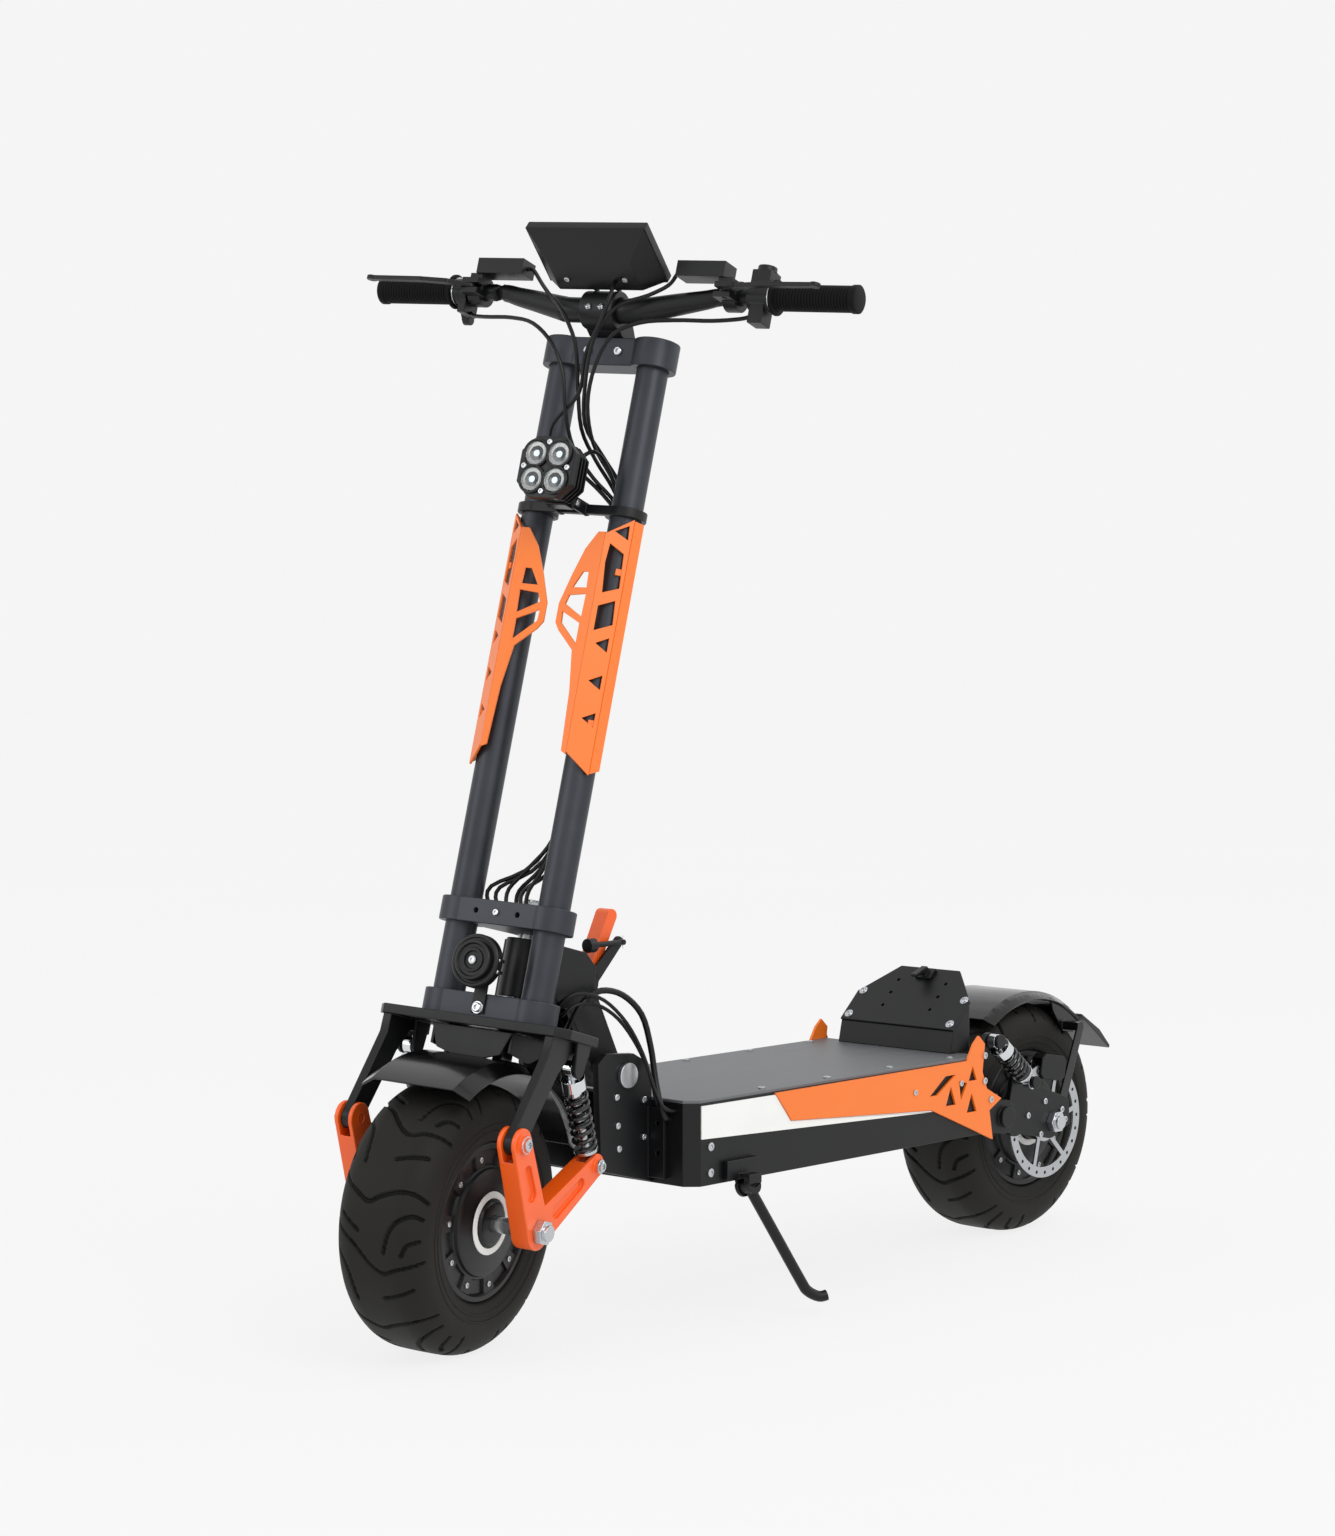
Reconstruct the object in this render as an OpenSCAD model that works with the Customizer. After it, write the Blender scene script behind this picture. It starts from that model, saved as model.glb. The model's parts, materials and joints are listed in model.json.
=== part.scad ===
// Electric kick scooter with twin stem tubes, hub motors and front and rear suspension.
// X runs forward, Y to the rider's left, Z up, and both tyres and the kickstand foot stand on z = 0.
// Everything that steers is drawn in a steering frame: its Z is the steering axis, its X leans forward.

/* [Wheels] */
// Outer radius of both tyres
tyre_r = 165; // [150:1:198]
// Width of both tyres
tyre_w = 125; // [105:1:135]
// Radius of the tyre's flat crown, half its width
crown_half = 24; // [15:1:35]
// Radius of the rim that carries the bead
rim_r = 98; // [85:1:110]
// Distance between the two axles
wheelbase = 1109; // [930:1:1340]
// Radius of the fixed motor axles
axle_r = 10; // [7:0.5:12]
// Radius of the brake discs
disc_r = 82; // [70:1:90]
// Thickness of the brake discs
disc_t = 3; // [2:0.5:4]
// Distance of the discs from the middle plane
disc_y = 86; // [80:1:90]

/* [Deck] */
// Width of the deck box
deck_w = 277; // [240:1:330]
// Height of the deck box without its top plate
deck_h = 105; // [90:1:130]
// Height of the deck's underside above the axles
deck_lift = 10; // [0:1:30]
// Distance from the front axle back to the deck's front wall
deck_setback = 304; // [290:1:340]
// Distance from the rear axle to the deck's rear wall
deck_rear = 215; // [205:1:240]
// Wall of the deck box
deck_wall = 4; // [3:0.5:6]
// Thickness of the deck's top plate
top_plate_t = 4; // [3:0.5:6]
// Length of the deck's front corner chamfers
deck_chamfer = 16; // [8:1:24]

/* [Fold] */
// Distance from the front axle back to the fold pivot
pivot_setback = 257; // [245:1:275]
// Height of the fold pivot above the deck's underside
pivot_lift = 141; // [130:1:155]
// Radius of the fold pivot bolt
pivot_bolt_r = 10; // [8:0.5:12]
// Thickness of the hinge plates on the deck
hinge_plate_t = 10; // [6:0.5:12]
// Inner distance between the hinge plates
hinge_gap = 120; // [112:1:130]

/* [Steering] */
// Lean of the steering axis, in degrees
rake = 15; // [12:0.5:18]
// Distance from the axis's foot forward to the front axle
steer_lead = 25; // [15:1:35]
// Turn of the handlebar at rest, in degrees to the left
steer_rest = 12.8; // [0:0.1:20]
// Distance from the steering axis forward to the stem tubes
tube_lead = 58; // [50:1:66]
// Distance of each stem tube from the middle plane
tube_y = 64; // [56:1:76]
// Outer radius of the stem tubes
tube_r = 20; // [16:0.5:22]
// Wall of the stem tubes
tube_wall = 3; // [2:0.5:4]
// Free height between the tyre and the crown plate
crown_gap = 65; // [58:1:80]
// Thickness of the crown plate
crown_t = 12; // [8:1:14]
// Half of the crown plate's width
crown_half_w = 138; // [134:1:150]
// Height of the lower yoke
lower_yoke_h = 29; // [24:1:36]
// Height of the middle yoke
middle_yoke_h = 30; // [24:1:36]
// Height of the top yoke
top_yoke_h = 36; // [28:1:40]
// Length of the head tube
head_tube_h = 73; // [60:1:90]
// Free length of the stem tubes between the middle and the top yoke
stem_span = 682; // [560:1:760]
// Radius of the steerer
steerer_r = 14; // [12:0.5:16]

/* [Handlebar] */
// Half of the handlebar's length
bar_half = 343; // [300:1:400]
// Radius of the handlebar in its clamp
bar_mid_r = 15.9; // [12.7:0.1:17.5]
// Radius of the handlebar under the grips
bar_r = 11.1; // [10:0.1:12]
// Height of the bar's middle above the top yoke
bar_lift = 30; // [26:1:50]
// Rise of the bar's ends
bar_rise = 24; // [10:1:60]
// Distance of the bar's middle ahead of the stem tubes
bar_lead = 34; // [24:1:44]
// Sweep of the bar's ends towards the rider
bar_sweep = 11; // [0:1:40]
// Length of each grip
grip_l = 108; // [95:1:125]
// Radius of each grip
grip_r = 16; // [14:0.5:18]
// Width of the display
display_w = 172; // [140:1:200]
// Length of the display along its slope
display_l = 88; // [75:1:100]

/* [Suspension] */
// Distance of the front swing arms' middle from the middle plane
arm_y = 117; // [115:1:122]
// Thickness of the front swing arms
arm_t = 26; // [24:1:28]
// Thickness of the fork legs' tongues
tongue_t = 12; // [10:0.5:13]
// Distance of the rear shocks from the middle plane
rear_shock_y = 122; // [122:1:126]
// Inner distance of the rear swingarm plates from the middle plane
swingarm_y = 94; // [93:0.5:96]
// Thickness of the rear swingarm plates
swingarm_t = 8; // [6:0.5:9]
// Wire radius of the shock springs
spring_wire_r = 2.4; // [2:0.1:2.6]

/* [Stand and lamp] */
// Backward lean of the kickstand leg, in degrees
stand_lean = 24; // [10:1:35]
// Outward lean of the kickstand leg, in degrees
stand_splay = 17; // [8:1:20]
// Radius of the kickstand leg
stand_r = 7; // [5:0.5:8]
// Width of the headlight's square face
lamp_w = 78; // [60:1:90]
// Height of the headlight above the middle yoke
lamp_lift = 527; // [400:1:620]
// Radius of the horn
horn_r = 33; // [25:1:34]

/* [Fits] */
// Radial clearance of every running fit
run_gap = 0.05; // [0.01:0.01:0.1]
// Clearance between pieces that sit inside one another
seat_gap = 0.05; // [0.02:0.01:0.2]
// Free play at the open lower eye of each shock
eye_play = 1.5; // [1:0.1:2]

/* [Hidden] */
$fn = 48;

// Heights and places along the middle plane, measured from the ground and from the rear axle.
axle_z = tyre_r;
deck_bottom = axle_z + deck_lift;
deck_rim = deck_bottom + deck_h;
deck_top_z = deck_rim + top_plate_t;
deck_front = wheelbase - deck_setback;
pivot_x = wheelbase - pivot_setback;
pivot_z = deck_bottom + pivot_lift;

// The steering frame: its origin is where the steering axis meets the ground.
steer_x = wheelbase - steer_lead;
camber = asin(sin(steer_rest) * sin(rake));
front_axle = [steer_lead * cos(rake) + axle_z * sin(rake), axle_z * cos(rake) - steer_lead * sin(rake)];
// The turned wheel leans by its camber, so the steering frame stands a little above the ground.
steer_z = tyre_r * cos(camber) + crown_half * sin(camber)
    - front_axle[0] * cos(steer_rest) * sin(rake) - front_axle[1] * cos(rake);
crown_w = front_axle[1] + tyre_r + crown_gap;
lower_w = crown_w + crown_t;
head_w = lower_w + lower_yoke_h + 6;
middle_w = head_w + head_tube_h + 6;
stem_w = middle_w + middle_yoke_h;
top_w = stem_w + stem_span;
stem_top = top_w + top_yoke_h;
bar_w = stem_top + bar_lift;
bar_u = tube_lead + bar_lead;
grip_w = bar_w + bar_rise;
grip_u = bar_u - bar_sweep;
steerer_top = stem_w + 14;

// Suspension points: [along, up] in the steering frame at the front, from the axles.
front_pivot = front_axle + [70.4, 96.7];
front_eye = front_axle + [-109, 91.4];
front_shock_top = [front_axle[0] - 27, crown_w - 31];
rear_pivot = [128, axle_z + 22];
rear_eye = [82, axle_z + 67];
rear_shock_top = [163, axle_z + 132];
shock_pin_r = 5;
front_pin_r = 6;
rear_pin_r = 8;

// Where the model's origin lies: under the middle of its footprint.
fender_tail = -186;
lever_reach = 57;
origin_x = (wheelbase + tyre_r + fender_tail) / 2;
origin_y = (lever_reach + 2 * grip_u) * sin(steer_rest) / 2 - 8;

// ---------- frames and helpers ----------

// Moves a piece drawn from the rear axle's foot to the model's origin.
module place() translate([-origin_x, -origin_y, 0]) children();

// The steering frame with the handlebar straight: for the neck, which doesn't steer.
module neck_frame() place() translate([steer_x, 0, steer_z]) rotate([0, -rake, 0]) children();

// The steering frame with the handlebar turned as it rests.
module steered() neck_frame() rotate([0, 0, steer_rest]) children();

// Draws its children and their mirror image on the other side.
module both_sides() {
    children();
    mirror([0, 1, 0]) children();
}

// Extrudes a side view, drawn as [along, up], across from y0 to y1.
module across(y0, y1) translate([0, y1, 0]) rotate([90, 0, 0]) linear_extrude(y1 - y0) children();

// A round bar across the object, from y0 to y1.
module pin(p, r, y0, y1) translate([p[0], y0, p[1]]) rotate([-90, 0, 0]) cylinder(r = r, h = y1 - y0);

// A round bar along the first axis, from x0 to x1.
module bar_x(x0, x1, y, z, r) translate([x0, y, z]) rotate([0, 90, 0]) cylinder(r = r, h = x1 - x0);

// The straight part between two round ends of different radii, in two dimensions. It is a touch
// slimmer than the ends, so that its sides cut them cleanly.
module link_sides(a, ra, b, rb) {
    n = norm(b - a);
    along = (b - a) / n;
    side = [-along[1], along[0]];
    lean = (ra - rb) / n;
    up = 0.985 * (side * sqrt(1 - lean * lean) + along * lean);
    down = 0.985 * (-side * sqrt(1 - lean * lean) + along * lean);
    polygon([a + ra * up, b + rb * up, b + rb * down, a + ra * down]);
}

// A flat link with two round ends, in two dimensions.
module link(a, ra, b, rb) {
    translate(a) circle(r = ra);
    translate(b) circle(r = rb);
    link_sides(a, ra, b, rb);
}

// The same link as a solid, from y0 to y1 across the object.
module link_bar(a, ra, b, rb, y0, y1) {
    pin(a, ra, y0, y1);
    pin(b, rb, y0, y1);
    across(y0, y1) link_sides(a, ra, b, rb);
}

// A rectangle with cut corners, in two dimensions, centred.
module cut_square(w, h, c) polygon([
    [-w / 2 + c, -h / 2], [w / 2 - c, -h / 2], [w / 2, -h / 2 + c], [w / 2, h / 2 - c],
    [w / 2 - c, h / 2], [-w / 2 + c, h / 2], [-w / 2, h / 2 - c], [-w / 2, -h / 2 + c]
]);

// A round bar from point a to point b.
module rod(a, b, r) {
    d = b - a;
    translate(a) rotate([0, acos(d[2] / norm(d)), atan2(d[1], d[0])]) cylinder(r = r, h = norm(d));
}

// A tube of radius r swept along points, as one polyhedron with flat ends.
function unit(v) = v / norm(v);
function heading(pts, i) = unit(
    i == 0 ? pts[1] - pts[0] : i == len(pts) - 1 ? pts[i] - pts[i - 1] : pts[i + 1] - pts[i - 1]
);
function ring(p, t, r, sides) =
    let (ref = abs(t[1]) < 0.8 ? [0, 1, 0] : [1, 0, 0], a = unit(cross(t, ref)), b = cross(t, a))
    [for (k = [0 : sides - 1]) p + r * (cos(360 * k / sides) * a + sin(360 * k / sides) * b)];
module sweep(pts, r, sides) {
    n = len(pts);
    verts = [for (i = [0 : n - 1]) each ring(pts[i], heading(pts, i), r, sides)];
    walls = [
        for (i = [0 : n - 2]) for (k = [0 : sides - 1])
            let (a = i * sides + k, b = i * sides + (k + 1) % sides)
            [a, b, b + sides, a + sides]
    ];
    ends = [[for (k = [sides - 1 : -1 : 0]) k], [for (k = [0 : sides - 1]) (n - 1) * sides + k]];
    polyhedron(verts, concat(walls, ends), convexity = 6);
}

// A smooth curve through hand-picked points, with some steps between each two.
function spline_at(p, i, t) =
    let (n = len(p), a = p[max(i - 1, 0)], b = p[i], c = p[i + 1], d = p[min(i + 2, n - 1)])
    0.5 * (2 * b + (c - a) * t + (2 * a - 5 * b + 4 * c - d) * t * t + (3 * b - a - 3 * c + d) * t * t * t);
function smooth(p, steps) = concat(
    [for (i = [0 : len(p) - 2]) for (k = [0 : steps - 1]) spline_at(p, i, k / steps)], [p[len(p) - 1]]
);

// ---------- deck ----------

deck_half = deck_w / 2;

// Plan of the deck, with its front corners cut, shrunk by an inset.
module deck_plan(inset) polygon([
    [deck_rear + inset, -deck_half + inset], [deck_front - deck_chamfer, -deck_half + inset],
    [deck_front - inset, -deck_half + deck_chamfer], [deck_front - inset, deck_half - deck_chamfer],
    [deck_front - deck_chamfer, deck_half - inset], [deck_rear + inset, deck_half - inset]
]);

// The lugs behind the deck hold the swingarm pivots and the tops of the rear shocks.
lug_y = swingarm_y + swingarm_t + 4;
lug_t = 8;
module rear_lug() {
    across(lug_y, lug_y + lug_t) {
        link(rear_pivot, 24, [deck_rear + 6, deck_bottom + 24], 24);
        link(rear_shock_top, 11, [deck_rear + 2, deck_rim - 26], 16);
        polygon([
            [deck_rear, deck_bottom], [deck_rear + 8, deck_bottom], [deck_rear + 8, deck_rim],
            [deck_rear - 22, deck_rim], [deck_rear - 30, deck_bottom + 40]
        ]);
    }
    pin(rear_pivot, rear_pin_r, swingarm_y - 2, lug_y + 1);
    pin(rear_pivot, 15, lug_y + lug_t - 0.5, lug_y + lug_t + 7);
    pin(rear_shock_top, shock_pin_r, lug_y + 1, rear_shock_y + 8);
    pin(rear_shock_top, 10, rear_shock_y + 7.5, rear_shock_y + 12);
}
module deck_shell() color("#1b1c1e") place() {
    difference() {
        translate([0, 0, deck_bottom]) linear_extrude(deck_h) deck_plan(0);
        translate([0, 0, deck_bottom + deck_wall]) linear_extrude(deck_h) deck_plan(deck_wall);
        for (y = [-78, 78]) for (z = [40, 78])
            bar_x(deck_front - 8, deck_front + 1, y + sign(y) * 8, deck_bottom + z, 3);
    }
    both_sides() rear_lug();
}
module deck_top() color("#6d6e70") place() translate([0, 0, deck_rim]) linear_extrude(top_plate_t)
    deck_plan(0);

battery_l = deck_front - deck_rear - 190;
module battery_and_controller() color("#2f5d8a") place() {
    translate([deck_rear + 130, -deck_half + 22, deck_bottom + deck_wall])
        cube([battery_l, deck_w - 44, deck_h - 2 * deck_wall - 12]);
    translate([deck_rear + 20, -deck_half + 42, deck_bottom + deck_wall])
        cube([90, deck_w - 84, deck_h * 0.5]);
}

// The sides' outlines are drawn from the deck's rear top corner, forward and down.
side_len = deck_front - deck_chamfer - deck_rear;
plate_front = side_len * 0.758;
function side_pt(x, drop) = [deck_rear + x, deck_top_z - drop];
module orange_outline(grow) polygon([
    side_pt(plate_front + grow, 5 - grow), side_pt(plate_front - 32, 44 + grow),
    side_pt(114, 63 + grow), side_pt(-22, 118), side_pt(-14, 77), side_pt(-41, 63), side_pt(-8, 46),
    side_pt(2, 22), side_pt(-3, -16), side_pt(10, -28), side_pt(22, -18), side_pt(36, 4 - grow)
]);
module triangle(x, drop, w, h) polygon([
    side_pt(x - w / 2, drop + h / 2), side_pt(x + w / 2, drop + h / 2), side_pt(x, drop - h / 2)
]);
module side_plates() color("#ff7a1a") place() both_sides() across(deck_half, deck_half + 4) difference() {
    orange_outline(0);
    polygon([side_pt(118, 44), side_pt(102, 44), side_pt(62, 20), side_pt(84, 20)]);
    triangle(72, 48, 22, 26);
    polygon([side_pt(54, 30), side_pt(36, 34), side_pt(50, 56)]);
    triangle(26, 62, 22, 26);
    triangle(24, 22, 18, 20);
}
module side_strips() color("#e8e9e6") place() both_sides() across(deck_half, deck_half + 2) difference() {
    polygon([
        side_pt(side_len, 7), side_pt(side_len, 49), side_pt(108, 66), side_pt(108, 30), side_pt(300, 8)
    ]);
    orange_outline(0.5);
}

// ---------- rear box ----------

box_half = 100;
box_x = deck_rear + 20;
box_rear = 150;
box_rise = 30;
box_slope = 42.7;
lid_l = (box_x - 7 - box_rear) / cos(box_slope);
lid_t = 4;
module box_side(t) polygon([
    [box_x - t, deck_top_z + t], [box_x - 7 - t, deck_top_z + box_rise - t],
    [box_rear + t, deck_top_z + box_rise + lid_l * sin(box_slope) - 2 * t], [box_rear + t, deck_top_z + t]
]);
module box_plan(t) polygon([
    [box_x + 5, -box_half + t], [box_x + 5, box_half - t], [box_rear + 42, box_half - t],
    [box_rear - 1, box_half / 2 - t], [box_rear - 1, -box_half / 2 + t], [box_rear + 42, -box_half + t]
]);
module box_solid(t) intersection() {
    across(-box_half, box_half) box_side(t);
    translate([0, 0, deck_top_z]) linear_extrude(150) box_plan(t);
}
module rear_box() color("#17181a") place() difference() {
    box_solid(0);
    box_solid(4);
    translate([deck_rear + 6, -30, deck_top_z - 1]) cube([8, 60, 6]);
}
// The lid lies on the slope; its frame runs up the slope from the front edge.
module lid_frame() place() translate([box_x - 7, 0, deck_top_z + box_rise])
    rotate([0, 0, 180]) rotate([0, -box_slope, 0]) children();
lid_rows = [32, 56, 80];
module rear_box_lid() color("#26272a") lid_frame() difference() {
    linear_extrude(lid_t) polygon([
        [0, -box_half], [lid_l * 0.5, -box_half], [lid_l, -box_half / 2 - 2], [lid_l, box_half / 2 + 2],
        [lid_l * 0.5, box_half], [0, box_half]
    ]);
    for (x = lid_rows) for (y = [-42, 42]) translate([x, y, -1]) cylinder(r = 2.5, h = lid_t + 2);
}
catch_x = lid_l - 22;
module stem_catch() color("#101113") lid_frame() {
    translate([catch_x, -14, lid_t]) cube([18, 28, 5]);
    across(-5, 5) polygon([
        [catch_x + 3, lid_t + 4], [catch_x + 15, lid_t + 4], [catch_x + 15, lid_t + 12],
        [catch_x - 10, lid_t + 22], [catch_x - 12, lid_t + 18], [catch_x + 3, lid_t + 11]
    ]);
}

// ---------- fold hinge ----------

hinge_half = hinge_gap / 2;
module hinge_outline() difference() {
    polygon([
        [deck_front, deck_bottom + 1], [wheelbase - 212, deck_bottom + 25],
        [wheelbase - 206, pivot_z + 18], [wheelbase - 222, pivot_z + 30], [pivot_x - 14, pivot_z + 26],
        [deck_front + 6, pivot_z + 12], [deck_front, pivot_z - 20]
    ]);
    translate([pivot_x, pivot_z]) circle(r = pivot_bolt_r + seat_gap);
}
module hinge_plates() color("#141517") place() both_sides() {
    across(hinge_half, hinge_half + hinge_plate_t) hinge_outline();
    difference() {
        translate([deck_front, hinge_half + 1, deck_bottom + 8]) cube([7, 36, deck_h - 16]);
        for (z = [40, 78]) bar_x(deck_front - 1, deck_front + 8, 86, deck_bottom + z, 3);
    }
}
module fold_bolt() color("#c9cbcc") place() {
    reach = hinge_half + hinge_plate_t;
    pin([pivot_x, pivot_z], pivot_bolt_r, -reach - 1, reach + 1);
    pin([pivot_x, pivot_z], 16, reach, reach + 6);
    pin([pivot_x, pivot_z], 16, -reach - 6, -reach);
}

// The neck carries the head tube on two plates that reach back to the fold pivot.
// Points of the side view in the steering frame.
function to_neck(x, z) = [
    (x - steer_x) * cos(rake) + (z - steer_z) * sin(rake),
    (z - steer_z) * cos(rake) - (x - steer_x) * sin(rake)
];
neck_pivot = to_neck(pivot_x, pivot_z);
head_top = head_w + head_tube_h;
neck_half = 42;
module neck_outline() {
    link(neck_pivot, 24, neck_pivot + [14, 10], 22);
    polygon([
        neck_pivot + [-21, 12], [-88, head_top - 40], [-84, head_top - 14], [-62, head_top],
        [0, head_top], [0, head_w], [-50, head_w], neck_pivot + [30, -2], neck_pivot
    ]);
}
module neck() color("#202124") neck_frame() difference() {
    union() {
        both_sides() across(neck_half - 9, neck_half) neck_outline();
        across(-neck_half, neck_half) polygon([
            [-60, head_w], [0, head_w], [0, head_top], [-60, head_top]
        ]);
        across(-neck_half + 5, neck_half - 5) polygon([
            neck_pivot + [-21, 12], [-88, head_top - 40], [-82, head_top - 43], neck_pivot + [-14, 10]
        ]);
        translate([0, 0, head_w]) cylinder(r = 27, h = head_tube_h);
        pin(neck_pivot, 20, -hinge_half + 0.5, hinge_half - 0.5);
    }
    translate([0, 0, head_w - 1]) cylinder(r = steerer_r + 5, h = head_tube_h + 2);
    pin(neck_pivot, pivot_bolt_r + run_gap, -hinge_half, hinge_half);
}
bearing_h = 12;
module head_bearings() color("#b9bbbd") neck_frame() for (w = [head_w, head_top - bearing_h])
    translate([0, 0, w]) difference() {
        cylinder(r = steerer_r + 5 - seat_gap, h = bearing_h);
        translate([0, 0, -1]) cylinder(r = steerer_r + run_gap, h = bearing_h + 2);
    }

// The latch stands on the neck's sloping back; its frame runs up that slope, and Z points backwards.
slope_low = neck_pivot + [-21, 12];
slope_high = [-88, head_top - 40];
slope_angle = atan2(slope_high[1] - slope_low[1], slope_high[0] - slope_low[0]);
slope_l = norm(slope_high - slope_low);
module latch_frame() neck_frame() translate([slope_low[0], 0, slope_low[1]]) rotate([0, -slope_angle, 0])
    children();
latch_pivot = [slope_l - 3, 27];
latch_tip = latch_pivot + [50, 67];
arm_tip = latch_pivot + [18, 58];
module latch_bracket() color("#111214") latch_frame() {
    translate([latch_pivot[0] - 46, -20, 0]) cube([48, 40, 5]);
    both_sides() across(13, 18) difference() {
        union() {
            link(latch_pivot, 9, arm_tip, 7);
            polygon([
                [latch_pivot[0] - 42, 4], [latch_pivot[0] + 1, 4], latch_pivot + [9, 0],
                latch_pivot + [-8, 4]
            ]);
        }
        translate(latch_pivot) circle(r = 4 + seat_gap);
    }
    pin(latch_pivot, 4, -18, 18);
    pin(arm_tip, 3.5, 17, 27);
    translate([arm_tip[0], 23.5, arm_tip[1]]) rotate([0, slope_angle + 90 + rake, 0]) {
        cylinder(r = 3.5, h = 60);
        translate([0, 0, 52]) cylinder(r = 9, h = 13);
    }
}
module latch_lever() color("#ff4a17") latch_frame() difference() {
    link_bar(latch_pivot, 8, latch_tip, 9, -11.5, 11.5);
    pin(latch_pivot, 4 + run_gap, -13, 13);
    across(-7, 7) link(latch_pivot + [-2, 17], 3, latch_tip + [-13, -10], 3);
}

// ---------- fork and yokes ----------

tubes = [[tube_lead, -tube_y], [tube_lead, tube_y]];
yoke_r = tube_r + 9;
module tube_bores(z, h) for (p = tubes) translate([p[0], p[1], z - 1])
    cylinder(r = tube_r + seat_gap, h = h + 2);
module steerer_bore(z, h) translate([0, 0, z - 1]) cylinder(r = steerer_r + seat_gap, h = h + 2);

module yoke_plan(front, rear_boss) {
    for (p = tubes) translate(p) circle(r = yoke_r);
    polygon([
        [tube_lead + front, -tube_y], [tube_lead + front, tube_y], [tube_lead - 18, tube_y],
        [tube_lead - 18, -tube_y]
    ]);
    if (rear_boss) {
        circle(r = steerer_r + 13);
        polygon([[0, -27], [tube_lead - 10, -52], [tube_lead - 10, 52], [0, 27]]);
    }
}
module steerer() color("#8d9093") steered() {
    translate([0, 0, crown_w + 1]) cylinder(r = steerer_r, h = steerer_top - crown_w - 1);
    translate([0, 0, stem_w]) cylinder(r = 21, h = 11, $fn = 6);
}
module stem_tubes() color("#45474c") steered() for (p = tubes) translate([p[0], p[1], lower_w])
    difference() {
        cylinder(r = tube_r, h = stem_top - lower_w - 2);
        translate([0, 0, -1]) cylinder(r = tube_r - tube_wall, h = stem_top - lower_w);
    }
module top_yoke() color("#3a3c40") steered() difference() {
    translate([0, 0, top_w]) linear_extrude(top_yoke_h) yoke_plan(20, false);
    tube_bores(top_w - 2, top_yoke_h);
    for (y = [-22, 22]) bar_x(tube_lead + 8, tube_lead + 30, y, top_w + 18, 4);
}
yoke_holes = [-30, 0, 30];
module middle_yoke() color("#3a3c40") steered() difference() {
    translate([0, 0, middle_w]) linear_extrude(middle_yoke_h) yoke_plan(27, true);
    tube_bores(middle_w, middle_yoke_h);
    steerer_bore(middle_w, middle_yoke_h);
    for (y = yoke_holes) bar_x(tube_lead + 12, tube_lead + 30, y, middle_w + middle_yoke_h / 2, 3);
}
module lower_yoke() color("#3a3c40") steered() difference() {
    translate([0, 0, lower_w]) linear_extrude(lower_yoke_h) yoke_plan(27, true);
    tube_bores(lower_w, lower_yoke_h);
    steerer_bore(lower_w, lower_yoke_h);
}

tongue_in = arm_y - tongue_t / 2;
tongue_out = arm_y + tongue_t / 2;
module fork_leg() {
    across(tongue_in, tongue_out) difference() {
        union() {
            link(front_pivot, 15, [tube_lead + 30, crown_w - 27], 17);
            polygon([
                [tube_lead - 46, crown_w + 1], [tube_lead + 45, crown_w + 1],
                [tube_lead + 47, crown_w - 30], [tube_lead + 18, crown_w - 42],
                [front_shock_top[0] + 14, crown_w - 14], [tube_lead - 46, crown_w - 14]
            ]);
        }
        translate(front_pivot) circle(r = front_pin_r + run_gap);
    }
    for (y = [tongue_in - 7, tongue_out + 2]) across(y, y + 5) {
        translate(front_shock_top) circle(r = 11);
        polygon([
            front_shock_top + [-11, 0], front_shock_top + [11, 0], [front_shock_top[0] + 16, crown_w + 1],
            [front_shock_top[0] - 16, crown_w + 1]
        ]);
    }
    pin(front_shock_top, shock_pin_r, tongue_in - 4, tongue_out + 4);
}
module front_fork() color("#17181a") steered() {
    difference() {
        translate([0, 0, crown_w]) linear_extrude(crown_t) polygon([
            [-30, -60], [tube_lead - 46, -crown_half_w + 6], [tube_lead + 30, -crown_half_w],
            [tube_lead + 46, -crown_half_w + 14], [tube_lead + 46, crown_half_w - 14],
            [tube_lead + 30, crown_half_w], [tube_lead - 46, crown_half_w - 6], [-30, 60]
        ]);
        steerer_bore(crown_w, crown_t);
    }
    both_sides() fork_leg();
}

fender_r = tyre_r + 27;
module front_fender() color("#101113") steered() {
    translate([front_axle[0], 0, front_axle[1]]) rotate([90, 0, 0]) rotate([0, 0, 48])
        rotate_extrude(angle = 96, $fn = 96) polygon([
            [fender_r, -56], [fender_r - 12, -76], [fender_r - 10, -78], [fender_r + 3, -58],
            [fender_r + 3, 58], [fender_r - 10, 78], [fender_r - 12, 76], [fender_r, 56]
        ]);
    both_sides() translate([front_axle[0] - 12, 28, front_axle[1] + fender_r + 1])
        cube([24, 14, crown_w - front_axle[1] - fender_r - 1.3]);
}

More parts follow.
